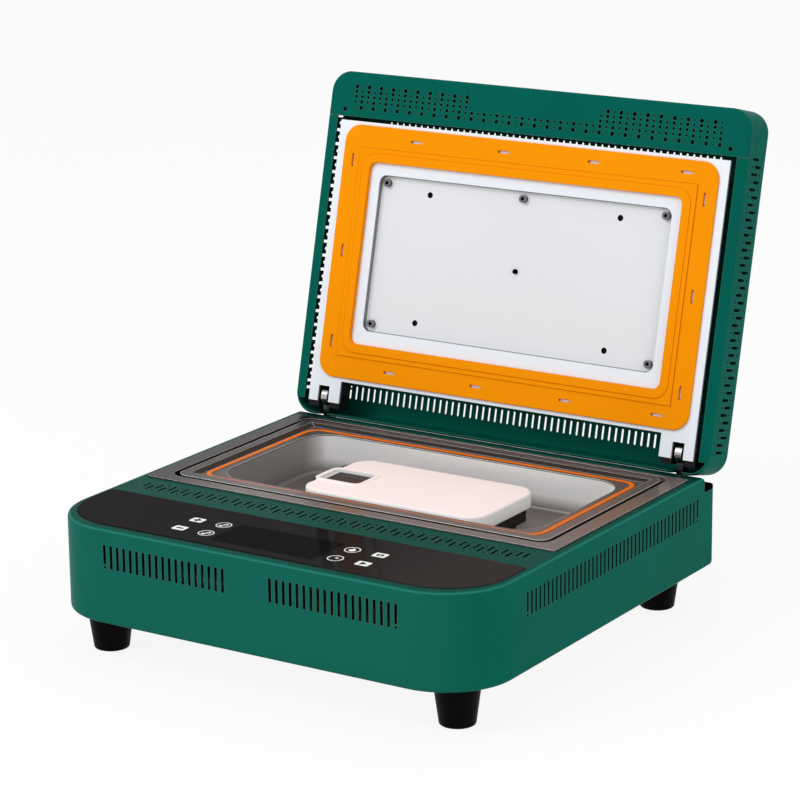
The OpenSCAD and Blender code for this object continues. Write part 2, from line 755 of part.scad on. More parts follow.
// The two halves reach up into the case and carry its back.
module mould_halves() {
    z0 = mould_z + mould_base_h + seat_c;
    top = case_z + case_t - case_wall - seat_c;
    half = (mould_w - 0.5) / 2;
    color([0.25, 0.25, 0.26]) for (s = [-1, 1])
        translate([case_x - mould_l / 2, case_y + (s > 0 ? 0.25 : -0.25 - half), z0]) cube([mould_l, half, top - z0]);
}

module phone_case() {
    color(white) translate([case_x, case_y, case_z]) difference() {
        union() {
            slab(case_l, case_w, case_t, case_r, case_r, case_edge, 0.8);
            translate([window_x, window_y, case_t - 1]) linear_extrude(1.8)
                outline(window_l + 2 * window_rim, window_w + 2 * window_rim, 6);
        }
        translate([0, 0, -over]) linear_extrude(case_t - case_wall + over)
            outline(case_l - 2 * case_wall, case_w - 2 * case_wall, case_r - case_wall);
        translate([window_x, window_y, case_t - 3]) linear_extrude(6) outline(window_l, window_w, 4);
    }
}

// Vacuum pump and its pipework, in the front of the base

pump_x = -(body_w / 2 - 65);
pump_y = front_y + 62;
pump_z = floor_z + plate_t + 17.5;
motor_r = 15;
port_x = pump_x + 14;
port_y = tray_y - 26;
hose_r = 4;

module pump_motor() {
    color([0.45, 0.46, 0.48]) translate([pump_x, pump_y, pump_z]) rotate([0, 90, 0]) difference() {
        union() {
            cylinder(r = motor_r, h = 58, $fn = fine);
            translate([0, 0, -4]) cylinder(r = 6, h = 5, $fn = 48);
            translate([0, 0, 57]) cylinder(r = 4, h = 3, $fn = 48);
        }
        for (a = [0 : 60 : 300]) rotate([0, 0, a]) translate([motor_r - 2, 0, 6]) cylinder(r = 1.2, h = 30, $fn = 20);
    }
}

module pump_head() {
    x0 = pump_x + 58.2;
    color([0.12, 0.12, 0.13]) difference() {
        union() {
            translate([x0, pump_y - 17, floor_z + plate_t + seat_c]) cube([36, 34, 34]);
            translate([x0 + 4, pump_y, floor_z + plate_t + 34]) cylinder(r = 13, h = 6, $fn = fine);
            translate([x0 + 18, pump_y + 16, pump_z]) rotate([-90, 0, 0]) cylinder(r = hose_r - 1, h = 9, $fn = 48);
        }
        translate([x0 - over, pump_y, pump_z]) rotate([0, 90, 0]) cylinder(r = 4.2, h = 4, $fn = 48);
    }
}

module pump_bracket() {
    z0 = floor_z + plate_t + seat_c;
    color(steel) translate([pump_x + 10, pump_y, 0]) for (x = [0, 30]) translate([x, 0, z0]) difference() {
        translate([0, -20, 0]) cube([10, 40, pump_z - z0]);
        translate([-over, 0, pump_z - z0]) rotate([0, 90, 0]) cylinder(r = motor_r + 0.1, h = 12, $fn = fine);
    }
}

hose_y0 = pump_y + 25;

// The hose leaves the pump, turns under the chamber and reaches its port.
module vacuum_hose() {
    x0 = pump_x + 58.2 + 18;
    bend = 18;
    run_y = port_y;
    color([0.75, 0.75, 0.78]) {
        translate([x0, hose_y0 + seat_c, pump_z]) rotate([-90, 0, 0]) tube(run_y - bend - hose_y0 - seat_c);
        translate([x0 - bend, run_y - bend, pump_z]) rotate_extrude(angle = 90, $fn = 64)
            translate([bend, 0]) tube_section();
        translate([x0 - bend, run_y, pump_z]) rotate([0, -90, 0]) tube(x0 - bend - port_x - 9);
    }
}

module tube(len) {
    difference() {
        cylinder(r = hose_r, h = len, $fn = 48);
        translate([0, 0, -over]) cylinder(r = hose_r - 1.6, h = len + 2 * over, $fn = 48);
    }
}

module tube_section() {
    difference() {
        circle(hose_r, $fn = 48);
        circle(hose_r - 1.6, $fn = 48);
    }
}

module vacuum_port() {
    top = chamber_floor - steel_t;
    color([0.8, 0.65, 0.3]) difference() {
        union() {
            translate([port_x, port_y, pump_z - 6]) cylinder(r = 7, h = top - seat_c - pump_z + 6, $fn = 6);
            translate([port_x, port_y, top - 1]) cylinder(r = 4, h = 2, $fn = 48);
            translate([port_x + 4, port_y, pump_z]) rotate([0, 90, 0]) cylinder(r = 3, h = 5 - seat_c, $fn = 48);
        }
        translate([port_x, port_y, pump_z]) cylinder(r = 2, h = 30, $fn = 32);
    }
}

module release_valve() {
    z0 = floor_z + plate_t + seat_c;
    color([0.2, 0.2, 0.22]) {
        translate([port_x - 49, port_y - 11, z0]) cube([26, 22, 9]);
        translate([port_x - 36, port_y, z0 + 8.9]) cylinder(r = 8, h = 10, $fn = 48);
        translate([port_x - 24, port_y, z0 + 4.5]) rotate([0, 90, 0]) cylinder(r = 2.8, h = 8, $fn = 32);
    }
}

// Power electronics, in the front right of the base

module power_board() {
    z0 = floor_z + plate_t + 6;
    color([0.7, 0.6, 0.3]) translate([0, front_y + 166, 0]) {
        translate([20, -140, z0]) cube([110, 70, 1.6]);
        translate([28, -132, z0 + 1.5]) cube([34, 28, 24]);
        translate([74, -126, z0 + 1.5]) cylinder(r = 9, h = 24, $fn = 48);
        translate([96, -126, z0 + 1.5]) cylinder(r = 9, h = 24, $fn = 48);
        translate([28, -92, z0 + 1.5]) cube([26, 12, 16]);
        translate([110, -100, z0 + 1.5]) cube([16, 24, 12]);
        for (x = [25, 125]) for (y = [-136, -74]) translate([x, y, floor_z + plate_t + seat_c])
            cylinder(r = 3, h = 6, $fn = 24);
    }
}

module power_heatsink() {
    z0 = floor_z + plate_t + 6 + 1.6 + seat_c;
    color([0.6, 0.61, 0.63]) translate([62, front_y + 68, z0]) {
        cube([40, 22, 3]);
        for (k = [0 : 6]) translate([k * 6.3, 0, 2.9]) cube([2.2, 22, 16]);
    }
}

// Rear connections

module mains_inlet() {
    color(black) translate([inlet_x, rear_y, rear_part_z]) rotate([90, 0, 0]) difference() {
        union() {
            translate([0, 0, -2.4 - seat_c]) linear_extrude(2.4) outline(inlet_w + 22, inlet_h + 8, 4);
            translate([0, 0, -1]) linear_extrude(24) outline(inlet_w, inlet_h, 2);
        }
        translate([0, 0, -4]) linear_extrude(18) outline(24, 16, 2);
        for (s = [-1, 1]) translate([s * 20, 0, -4]) cylinder(r = 1.7, h = 8, $fn = 24);
    }
    color(steel) translate([inlet_x, rear_y - 14.2, rear_part_z]) for (k = [-1 : 1])
        translate([k * 7 - 1, 0, k == 0 ? 1 : -4]) cube([2, 13, 4]);
}

rocker_axis_y = rear_y - 2.4;

module switch_frame() {
    color(black) translate([switch_x, rear_y, rear_part_z]) rotate([90, 0, 0]) difference() {
        union() {
            translate([0, 0, -1.8 - seat_c]) linear_extrude(1.8) outline(switch_w + 2.4, switch_h + 2.4, 1);
            translate([0, 0, -1]) linear_extrude(17) outline(switch_w, switch_h, 0.8);
        }
        translate([0, 0, -4]) linear_extrude(14) outline(switch_w - 2.4, switch_h - 3, 0.6);
        translate([-switch_w / 2, 0, 2.4]) rotate([0, 90, 0]) cylinder(r = 1.05, h = switch_w, $fn = 32);
    }
}

module switch_rocker() {
    w = switch_w - 3;
    color([0.5, 0.05, 0.05]) translate([switch_x, rocker_axis_y, rear_part_z]) {
        rotate([8, 0, 0]) difference() {
            translate([-w / 2, -4, -7.6]) cube([w, 8.6, 15.2]);
            translate([-w / 2 - over, 5.8, -11]) rotate([12, 0, 0]) cube([w + 2 * over, 6, 11.4]);
            translate([-w / 2 - over, 5.8, 0]) rotate([-12, 0, 0]) cube([w + 2 * over, 6, 11]);
            for (s = [-1, 1]) translate([-w / 2 - over, -5.5, s * 7.6 - 2.5]) cube([w + 2 * over, 3.6, 5]);
        }
        translate([-switch_w / 2 + 0.3, 0, 0]) rotate([0, 90, 0]) cylinder(r = 1, h = switch_w - 0.6, $fn = 32);
    }
}

// Fan

fan_y = rear_y - sheet_t - seat_c;
fan_t = 15;

module fan_frame() {
    color(black) translate([fan_x, fan_y, fan_z]) rotate([90, 0, 0]) difference() {
        linear_extrude(fan_t) outline(fan_size, fan_size, 4);
        translate([0, 0, -over]) cylinder(r = fan_size / 2 - 1.5, h = fan_t - 2 + over, $fn = fine);
        translate([0, 0, fan_t - 3]) difference() {
            cylinder(r = fan_size / 2 - 1.5, h = 4, $fn = fine);
            cylinder(r = 12, h = 5, $fn = 48);
            for (a = [45 : 90 : 315]) rotate([0, 0, a]) translate([0, -1.5, 0]) cube([fan_size / 2, 3, 5]);
        }
        for (sx = [-1, 1]) for (sy = [-1, 1]) translate([sx * (fan_size / 2 - 4), sy * (fan_size / 2 - 4), -over])
            cylinder(r = 1.8, h = fan_t + 2 * over, $fn = 24);
        translate([0, 0, fan_t - 3]) cylinder(r = 1.55, h = 6, $fn = 32);
    }
}

module fan_rotor() {
    color([0.1, 0.1, 0.1]) translate([fan_x, fan_y, fan_z]) rotate([90, 0, 0]) {
        translate([0, 0, 1]) cylinder(r = 11.5, h = 10, $fn = fine);
        translate([0, 0, 10]) cylinder(r = 1.5, h = fan_t - 10.5, $fn = 32);
        for (a = [0 : 360 / 7 : 359]) rotate([0, 0, a]) translate([10, 0, 6]) rotate([40, 0, 0])
            translate([0, -5.5, -0.7]) cube([12.6, 11, 1.4]);
    }
}

// Hinge

module hinge_arm(s) {
    foot_z = trough_z - sheet_t - 22;
    color([0.85, 0.85, 0.86]) difference() {
        union() {
            translate([s * arm_x - arm_t / 2, hinge_y, hinge_z]) rotate([0, 90, 0]) cylinder(r = arm_r, h = arm_t, $fn = fine);
            translate([s * arm_x - arm_t / 2, hinge_y - arm_half, foot_z]) cube([arm_t, 2 * arm_half, hinge_z - foot_z]);
        }
        translate([s * arm_x - arm_t, hinge_y, hinge_z]) rotate([0, 90, 0])
            cylinder(r = pin_r + fit_c, h = 2 * arm_t, $fn = 48);
    }
}

module hinge_arm_left() { hinge_arm(-1); }
module hinge_arm_right() { hinge_arm(1); }

module hinge_bracket(s) {
    x0 = s > 0 ? arm_x - arm_t / 2 - 3 - seat_c : -arm_x + arm_t / 2 + seat_c;
    z1 = trough_z - sheet_t - seat_c;
    color(steel) {
        translate([x0, hinge_y - 12, z1 - 26]) cube([3, 12 + rear_y - sheet_t - seat_c - hinge_y, 26]);
        translate([x0 - (s > 0 ? 22 : 0), rear_y - sheet_t - seat_c - 3, z1 - 26]) cube([25, 3, 26]);
    }
}

module hinge_bracket_left() { hinge_bracket(-1); }
module hinge_bracket_right() { hinge_bracket(1); }

// Lid. Its pieces are drawn closed, from the plate's hinge edge: x, minus u, and w upward.

module in_lid() {
    translate([0, hinge_y, hinge_z]) rotate([-open_angle, 0, 0]) translate([0, hinge_u, -hinge_w]) children();
}

lid_len = lid_front + lid_rear;
lid_mid = -(lid_front - lid_rear) / 2;
cover_u = lid_front - cover_d;
rim_in_x = lid_w / 2 - lid_rim_w;
lid_inner_w = lid_w - 2 * sheet_t;

module lid_body(h) {
    translate([0, lid_mid, lid_rim_lift])
        slab(lid_w, lid_len, lid_h, lid_corner_r, lid_corner_r, lid_edge_r, lid_rim_r);
}

module lid_cavity() {
    w1 = lid_rim_lift + sheet_t;
    translate([0, lid_mid, w1]) slab(lid_inner_w, lid_len - 2 * sheet_t, lid_h - 2 * sheet_t,
        lid_corner_r - sheet_t, lid_corner_r - sheet_t, lid_edge_r - sheet_t, 0.3);
}

module cover_region(extra) {
    translate([-lid_w / 2 - over, -lid_front - over, lid_rim_lift - over])
        cube([lid_w + 2 * over, cover_d + over + extra, cover_h + over + extra]);
}

// The finger recess, and the thicker wall behind it.
module grip_cut(extra = 0) {
    translate([-grip_w / 2 - extra, -lid_front - 2, 8 - extra]) rotate([90, 0, 90]) linear_extrude(grip_w + 2 * extra)
        polygon([[0, 0], [2 + extra, 0], [2 + grip_d + extra, 4], [2 + grip_d + extra, lid_h], [0, lid_h]]);
}

module lid_side_cuts() {
    mid_u = (8 + 8 + (lid_side_slots - 1) * lid_pitch) / 2;
    for (s = [0, 1]) mirror([s, 0, 0]) translate([lid_w / 2 - sheet_t - over, -mid_u, 17.3])
        rotate([90, 0, 90]) linear_extrude(sheet_t + 2 * over) mirror([0, 1])
        stagger_row(lid_side_slots, lid_pitch);
}

module lid_back_cuts() {
    translate([0, 0, lid_top_w - sheet_t - over]) linear_extrude(sheet_t + 2 * over) {
        translate([-(lid_back_slots - 1) / 2 * (lid_pitch + 0.05), -7.7])
            slot_row(lid_back_slots, lid_pitch + 0.05, 10.5, true, true);
        translate([0, -face_d + 2.5]) slot_row_centred(lid_back_slots - 3, lid_pitch + 0.05, 10.5);
    }
}

module arm_gap(top) {
    for (s = [-1, 1]) translate([s * arm_x - arm_slot / 2, -tab_d + 5, -over])
        cube([arm_slot, lid_rear + tab_d, top + over]);
}

module lid_shell() {
    color(green) in_lid() difference() {
        lid_body();
        difference() {
            lid_cavity();
            grip_cut(sheet_t);
        }
        translate([-rim_in_x, -cover_u - 2, -over]) cube([2 * rim_in_x, cover_u + 2, 4]);
        translate([0, lid_mid, -over]) linear_extrude(4) intersection() {
            outline(lid_inner_w, lid_len - 2 * sheet_t, lid_corner_r - sheet_t);
            translate([-lid_w / 2, -lid_mid - 0.5]) square([lid_w, lid_rear + 2]);
        }
        cover_region(0.15);
        grip_cut();
        lid_side_cuts();
        lid_back_cuts();
        arm_gap(18);
    }
}

// Rows of graded holes: each column grows towards the hinge or away from it in turn.
hole_u = [for (gap = [26.9, 22.5, 18.5, 14.7, 11.1]) lid_front - gap];
hole_r_up = [0.65, 0.9, 1.15, 1.35, 1.6];
hole_r_down = [1.6, 1.35, 1.15, 0.9, 0.65];

module cover_holes() {
    for (k = [0 : cover_cols - 1]) {
        middle = k > 18 && k < cover_cols - 19;
        for (j = [0 : middle ? 1 : 4])
            translate([(k - (cover_cols - 1) / 2) * cover_pitch, -hole_u[j]])
            circle(k % 2 == 0 ? hole_r_up[j] : hole_r_down[j], $fn = 20);
    }
}

module lid_cover() {
    color(green) in_lid() difference() {
        intersection() {
            lid_body();
            cover_region(0);
        }
        difference() {
            translate([0, 0, 1.5 - sheet_t]) lid_cavity();
            translate([-lid_w / 2, -cover_u - 1.5, -over]) cube([lid_w, 3, 20]);
        }
        translate([0, 0, lid_rim_lift - over]) linear_extrude(5) cover_holes();
        for (s = [-1, 1]) translate([s * (lid_w / 2 - 14), -cover_u - 5.1, -over]) cylinder(r = 1.7, h = 8, $fn = 24);
    }
}

module cover_screws() {
    color(black) in_lid() for (s = [-1, 1]) translate([s * (lid_w / 2 - 14), -cover_u - 5.1, lid_rim_lift])
        cylinder(r = 1.6, h = 6, $fn = 24);
}

recess_mid = plate_u + 1;

module face_outline() {
    difference() {
        translate([-face_w / 2, -face_d]) square([face_w, face_d]);
        translate([-face_w / 2 + tab_w, -tab_d]) square([face_w - 2 * tab_w, tab_d + over]);
        for (s = [-1, 1]) translate([s * arm_x - arm_slot / 2, -12]) square([arm_slot, 12 + over]);
    }
}

bolt_u = [recess_mid - recess_l / 2 + 6, recess_mid + recess_l / 2 - 5.6];
bolt_x = recess_w / 2 - 5.7;
hole_x = recess_w * 0.326;
hole_d = recess_l * 0.407;
sensor_holes = [[-hole_x, recess_mid + hole_d], [hole_x, recess_mid + hole_d], [0, recess_mid],
    [-hole_x, recess_mid - hole_d], [hole_x, recess_mid - hole_d]];

module bolt_places() {
    for (s = [-1, 1]) for (u = bolt_u) translate([s * bolt_x, -u, 0]) children();
    translate([0, -bolt_u[1], 0]) children();
}

module lid_plate() {
    color(white) in_lid() difference() {
        union() {
            linear_extrude(face_t) face_outline();
            translate([0, -recess_mid, 0]) slab(recess_w + 2 * face_t, recess_l + 2 * face_t, recess_drop + face_t,
                recess_r + face_t, recess_r + face_t, 1.5, 0.2);
        }
        translate([0, -recess_mid, -over]) slab(recess_w, recess_l, recess_drop + over, recess_r, recess_r, 1.6, 0.2);
        bolt_places() translate([0, 0, -over]) cylinder(r = 2.1, h = 12, $fn = 32);
        for (p = sensor_holes) translate([p[0], -p[1], -over]) cylinder(r = 1.9, h = 12, $fn = 32);
    }
}

module plate_bolts() {
    color(steel) in_lid() bolt_places() translate([0, 0, recess_drop - seat_c]) difference() {
        union() {
            mirror([0, 0, 1]) cylinder(r = 3, h = 3, $fn = 48);
            translate([0, 0, -0.1]) cylinder(r = 1.9, h = 9, $fn = 32);
        }
        translate([0, 0, -4]) cylinder(r = 1.6, h = 2.8, $fn = 6);
    }
}

gasket_slot_x = [-94.8, -18.8, 57.2, 133.2];
gasket_slot_u = [plate_u - gasket_d * 0.36, plate_u, plate_u + gasket_d * 0.36];

module gasket_slots() {
    for (x = gasket_slot_x) for (s = [-1, 1]) translate([x, -plate_u + s * (gasket_d / 2 - 9)])
        rotate(90) slot_shape(2.1, 10);
    for (s = [-1, 1]) for (u = gasket_slot_u) translate([s * (gasket_w / 2 - 8.8), -u]) slot_shape(2.1, 10);
}

module lid_gasket() {
    ridge_out_w = gasket_in_w + 2 * ridge_w;
    ridge_out_d = gasket_in_d + 2 * ridge_w;
    lower = -seat_c;
    color(orange) in_lid() translate([0, 0, lower]) mirror([0, 0, 1]) difference() {
        union() {
            translate([0, -plate_u, 0]) slab(gasket_w, gasket_d, gasket_t, gasket_r, gasket_r, 0.6, 0.1);
            translate([0, -plate_u, 0]) linear_extrude(gasket_t + square_h)
                square([ridge_out_w + 2 * square_w, ridge_out_d + 2 * square_w], center = true);
            translate([0, -plate_u, 0]) slab(ridge_out_w, ridge_out_d, gasket_t + ridge_h, 12, 12, 0.9, 0.1);
        }
        translate([0, -plate_u, -over]) linear_extrude(12) outline(gasket_in_w, gasket_in_d, 6);
        translate([0, 0, -over]) linear_extrude(12) gasket_slots();
    }
}

// Heater, above the recess of the plate

heater_z = recess_drop + face_t + seat_c;
heater_t = 7;

module heater_block() {
    color([0.62, 0.62, 0.64]) in_lid() translate([0, -recess_mid, heater_z]) difference() {
        linear_extrude(heater_t) outline(recess_w - 2, recess_l - 2, 8);
        for (y = element_rows) translate([-element_l / 2 - 12, y - 2.6, heater_t - 3.2]) cube([element_l + 24, 5.2, 5]);
        for (s = [-1, 1]) translate([s * (element_l / 2 + 7.5), 0, heater_t - 3.2]) linear_extrude(5)
            square([18, element_pitch * 3 + 6], center = true);
        translate([0, recess_mid, -over]) bolt_places() cylinder(r = 2.1, h = 12, $fn = 32);
        translate([0, recess_mid, -over]) for (p = sensor_holes) translate([p[0], -p[1], 0])
            cylinder(r = 1.9, h = 12, $fn = 32);
    }
}

element_l = recess_w - 53;
element_pitch = 26;
element_rows = [-39, -13, 13, 39];

// A serpentine tube of four runs and three bends.
module heating_element() {
    z = heater_z + heater_t - 3.2 + 2.5 + seat_c;
    color([0.35, 0.33, 0.32]) in_lid() translate([0, -recess_mid, z]) {
        for (y = element_rows) translate([-element_l / 2, y, 0]) rotate([0, 90, 0]) cylinder(r = 2.5, h = element_l, $fn = 24);
        for (k = [0 : 2]) {
            s = k % 2 == 0 ? 1 : -1;
            translate([s * element_l / 2, (element_rows[k] + element_rows[k + 1]) / 2, 0])
                rotate([0, 0, s > 0 ? -90 : 90]) rotate_extrude(angle = 180, $fn = 48)
                translate([element_pitch / 2, 0]) circle(2.5, $fn = 24);
        }
    }
}

pad_z = heater_z + heater_t + 2.2 + seat_c;
pad_t = 7;

module insulation_pad() {
    color([0.85, 0.83, 0.75]) in_lid() translate([0, -recess_mid, pad_z]) rounded_plate(recess_w + 6, recess_l + 6, pad_t, 6);
}

// Two straps that hold the pad and the heater down on the plate.
module heater_clamps() {
    x = recess_w / 4;
    out = recess_l / 2 + 12;
    color(steel) in_lid() for (s = [-1, 1]) translate([s * x - 8, -recess_mid, 0]) {
        translate([0, -out, pad_z + pad_t + seat_c]) cube([16, 2 * out, 1.2]);
        for (t = [-1, 1]) translate([0, t * (out - 0.6) - 0.6, face_t + seat_c])
            cube([16, 1.2, pad_z + pad_t - face_t + 1]);
    }
}

module thermal_cutout() {
    color([0.75, 0.7, 0.6]) in_lid() translate([face_w / 2 - 15, -recess_mid, face_t + seat_c]) {
        cylinder(r = 8, h = 6, $fn = 48);
        translate([0, 0, 5.9]) cylinder(r = 5.5, h = 6, $fn = 48);
        for (s = [-1, 1]) translate([s * 3 - 0.4, -3, 11.8]) cube([0.8, 6, 7]);
    }
}

module temperature_probe() {
    color(steel) in_lid() translate([0, -sensor_holes[2][1], 2.7]) {
        cylinder(r = 1.8, h = heater_z + heater_t - 2.5, $fn = 32);
        translate([0, 0, heater_z + heater_t - 2.6]) cylinder(r = 3, h = 2, $fn = 6);
    }
}

// The pillars that carry the plate from the top of the lid.
module lid_standoffs() {
    color(steel) in_lid() for (s = [-1, 1]) for (u = [tab_d + 13, face_d - 12.5])
        translate([s * (face_w / 2 - 13.2), -u, face_t + seat_c])
        cylinder(r = 4, h = lid_top_w - sheet_t - face_t - 2 * seat_c, $fn = 6);
}

module hinge_block(s) {
    w = arm_slot + 18;
    x0 = s * arm_x - w / 2;
    color(black) in_lid() difference() {
        translate([x0, -tab_d + 1, face_t + seat_c]) cube([w, tab_d - 1 + block_rear, block_h]);
        translate([s * arm_x - arm_slot / 2, -hinge_u - arm_r - 1.2, -over])
            cube([arm_slot, 40, hinge_w + arm_r + 1.2 + over]);
        translate([x0 - over, -hinge_u, hinge_w]) rotate([0, 90, 0]) cylinder(r = pin_r + 0.02, h = 40, $fn = 48);
    }
}

module hinge_block_left() { hinge_block(-1); }
module hinge_block_right() { hinge_block(1); }

module hinge_pin(s) {
    color(steel) in_lid() translate([s * arm_x - 11, -hinge_u, hinge_w]) rotate([0, 90, 0])
        cylinder(r = pin_r, h = 22, $fn = 48);
}

module hinge_pin_left() { hinge_pin(-1); }
module hinge_pin_right() { hinge_pin(1); }

translate([0, origin_y, 0]) {
    base_shell();
    bottom_plate();
    bottom_screws();
    feet();
    foot_screws();
    hinge_trough();
    panel_glass();
    display_module();
    control_board();
    board_spacers();
    touch_pads();
    tray_frame();
    vacuum_chamber();
    chamber_gasket();
    chamber_seal();
    mould_base();
    mould_halves();
    phone_case();
    pump_motor();
    pump_head();
    pump_bracket();
    vacuum_hose();
    vacuum_port();
    release_valve();
    power_board();
    power_heatsink();
    mains_inlet();
    switch_frame();
    switch_rocker();
    fan_frame();
    fan_rotor();
    hinge_arm_left();
    hinge_arm_right();
    hinge_bracket_left();
    hinge_bracket_right();
    lid_shell();
    lid_cover();
    cover_screws();
    lid_plate();
    plate_bolts();
    lid_gasket();
    heater_block();
    heating_element();
    insulation_pad();
    heater_clamps();
    thermal_cutout();
    temperature_probe();
    hinge_block_left();
    hinge_block_right();
    hinge_pin_left();
    hinge_pin_right();
    lid_standoffs();
}
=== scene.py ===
import math

import bmesh
import bpy
from mathutils import Matrix, Vector


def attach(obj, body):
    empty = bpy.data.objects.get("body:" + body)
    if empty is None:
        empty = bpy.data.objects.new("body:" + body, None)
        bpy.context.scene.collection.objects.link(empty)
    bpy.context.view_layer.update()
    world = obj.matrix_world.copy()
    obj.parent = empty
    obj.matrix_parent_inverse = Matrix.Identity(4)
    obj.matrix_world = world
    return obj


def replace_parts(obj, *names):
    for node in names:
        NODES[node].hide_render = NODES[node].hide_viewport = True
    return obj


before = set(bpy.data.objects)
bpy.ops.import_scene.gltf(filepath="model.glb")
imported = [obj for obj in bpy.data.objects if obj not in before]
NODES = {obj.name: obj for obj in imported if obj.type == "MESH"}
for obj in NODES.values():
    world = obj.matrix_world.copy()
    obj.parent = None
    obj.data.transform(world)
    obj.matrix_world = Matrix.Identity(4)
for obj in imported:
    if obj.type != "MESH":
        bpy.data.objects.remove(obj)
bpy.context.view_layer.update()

MM = 0.001

# Named sizes in millimetres, as in the part's source. Its Y runs from the middle of the base.
ORIGIN_Y = -37.1186
PANEL_TOP = 99.8

# The lid's hinge, and how far the lid stands open at rest
HINGE_Y = 157.5
HINGE_Z = 111.5
HINGE_U = 4.0
HINGE_W = 8.3
OPEN_ANGLE = math.radians(103.8)

# How deep the recess in the lid's plate is, and the sheet's thickness
RECESS_DROP = 4.3
PLATE_T = 2


def base_point(x, y, z=PANEL_TOP):
    """A place in the source's millimetres, in metres in the part's frame."""
    return Vector((x, y + ORIGIN_Y, z)) * MM


def lid_point(x, u, w):
    """The same for the lid's own frame: u towards the grip, w away from the face of the plate."""
    a = -OPEN_ANGLE
    y = HINGE_U - u
    z = w - HINGE_W
    return base_point(x, HINGE_Y + y * math.cos(a) - z * math.sin(a),
                      HINGE_Z + y * math.sin(a) + z * math.cos(a))


# Materials

NOISE_LOW = 0.3
NOISE_HIGH = 0.7
PATCH_DETAIL = 4
PATCH_ROUGH = 0.55
GRAIN_DETAIL = 3
GRAIN_ROUGH = 0.6
EDGE_SAMPLES = 6
EDGE_DOT = 0.90
FLAT_DOT = 0.995


class Tree:
    """A material's nodes, with short calls for the ones used here."""

    def __init__(self, name):
        self.mat = bpy.data.materials.new(name)
        self.mat.use_nodes = True
        self.nodes = self.mat.node_tree.nodes
        self.links = self.mat.node_tree.links
        self.shader = self.nodes["Principled BSDF"]
        self.coords = self.nodes.new("ShaderNodeTexCoord")

    def link(self, a, b):
        self.links.new(a, b)

    def put(self, value, socket):
        """A colour, or another node's output, into a colour socket."""
        if isinstance(value, tuple):
            socket.default_value = (*value, 1)
        else:
            self.link(value, socket)

    def noise(self, scale, detail, rough, stretch=(1, 1, 1)):
        m = self.nodes.new("ShaderNodeMapping")
        m.inputs["Scale"].default_value = stretch
        self.link(self.coords.outputs["Object"], m.inputs["Vector"])
        n = self.nodes.new("ShaderNodeTexNoise")
        n.inputs["Scale"].default_value = scale
        n.inputs["Detail"].default_value = detail
        n.inputs["Roughness"].default_value = rough
        self.link(m.outputs["Vector"], n.inputs["Vector"])
        return n.outputs["Fac"]

    def ramp(self, noise, low, high):
        """From low to high over the middle of a noise's range."""
        return self.span(noise, NOISE_LOW, NOISE_HIGH, low, high)

    def mix(self, fac, a, b):
        """a where fac is 0, and b where it is 1. Each is a colour or a node's output."""
        m = self.nodes.new("ShaderNodeMix")
        m.data_type = "RGBA"
        self.put(a, m.inputs["A"])
        self.put(b, m.inputs["B"])
        self.link(fac, m.inputs["Factor"])
        return m.outputs["Result"]

    def bevel(self, radius):
        """A normal that is rounded over the edges."""
        b = self.nodes.new("ShaderNodeBevel")
        b.samples = EDGE_SAMPLES
        b.inputs["Radius"].default_value = radius
        return b.outputs["Normal"]

    def span(self, value, low, high, to_low=0, to_high=1):
        """From to_low to to_high as the value goes from low to high, and level past them."""
        r = self.nodes.new("ShaderNodeMapRange")
        r.inputs["From Min"].default_value = low
        r.inputs["From Max"].default_value = high
        r.inputs["To Min"].default_value = to_low
        r.inputs["To Max"].default_value = to_high
        self.link(value, r.inputs["Value"])
        return r.outputs["Result"]

    def edge_share(self, rounded_normal):
        """1 on an edge, where the rounded normal leaves the face's own, and 0 on a flat."""
        face = self.nodes.new("ShaderNodeNewGeometry")
        dot = self.nodes.new("ShaderNodeVectorMath")
        dot.operation = "DOT_PRODUCT"
        self.link(rounded_normal, dot.inputs[0])
        self.link(face.outputs["Normal"], dot.inputs[1])
        return self.span(dot.outputs["Value"], EDGE_DOT, FLAT_DOT, 1, 0)

    def corner_share(self, reach, low, high):
        """1 in the open, and 0 deep in a corner or a slot, by ambient occlusion: it places the painted
        shade of the creases.
        """
        ao = self.nodes.new("ShaderNodeAmbientOcclusion")
        ao.samples = EDGE_SAMPLES
        ao.inputs["Distance"].default_value = reach
        return self.span(ao.outputs["AO"], low, high)

    def component(self, vector, axis):
        """One of a vector's three values."""
        split = self.nodes.new("ShaderNodeSeparateXYZ")
        self.link(vector, split.inputs[0])
        return split.outputs[axis]

    def along(self, axis, low, high):
        """0 to 1 between two places on an axis, in millimetres."""
        return self.span(self.component(self.coords.outputs["Object"], axis), low * MM, high * MM)

    def lid_along(self, axis, low, high):
        """The same in the lid's own frame: X across, Y minus u, Z away from the plate's face."""
        m = self.nodes.new("ShaderNodeMapping")
        m.vector_type = "TEXTURE"
        m.inputs["Location"].default_value = lid_point(0, 0, 0)
        m.inputs["Rotation"].default_value = (-OPEN_ANGLE, 0, 0)
        self.link(self.coords.outputs["Object"], m.inputs["Vector"])
        return self.span(self.component(m.outputs["Vector"], axis), low * MM, high * MM)

    def facing(self, axis, low, high):
        """0 to 1 as the face's own direction turns towards an axis."""
        return self.span(self.component(self.coords.outputs["Normal"], axis), low, high)

    def both(self, a, b):
        """Where two shares meet."""
        m = self.nodes.new("ShaderNodeMath")
        m.operation = "MULTIPLY"
        self.link(a, m.inputs[0])
        self.link(b, m.inputs[1])
        return m.outputs[0]

    def bump(self, height, strength, distance, normal):
        """Fine grain on a normal, which may be the face's own."""
        b = self.nodes.new("ShaderNodeBump")
        b.inputs["Strength"].default_value = strength
        b.inputs["Distance"].default_value = distance
        self.link(height, b.inputs["Height"])
        if normal is not None:
            self.link(normal, b.inputs["Normal"])
        return b.outputs["Normal"]


def shade(color, by):
    return tuple(min(1.0, c * by) for c in color)


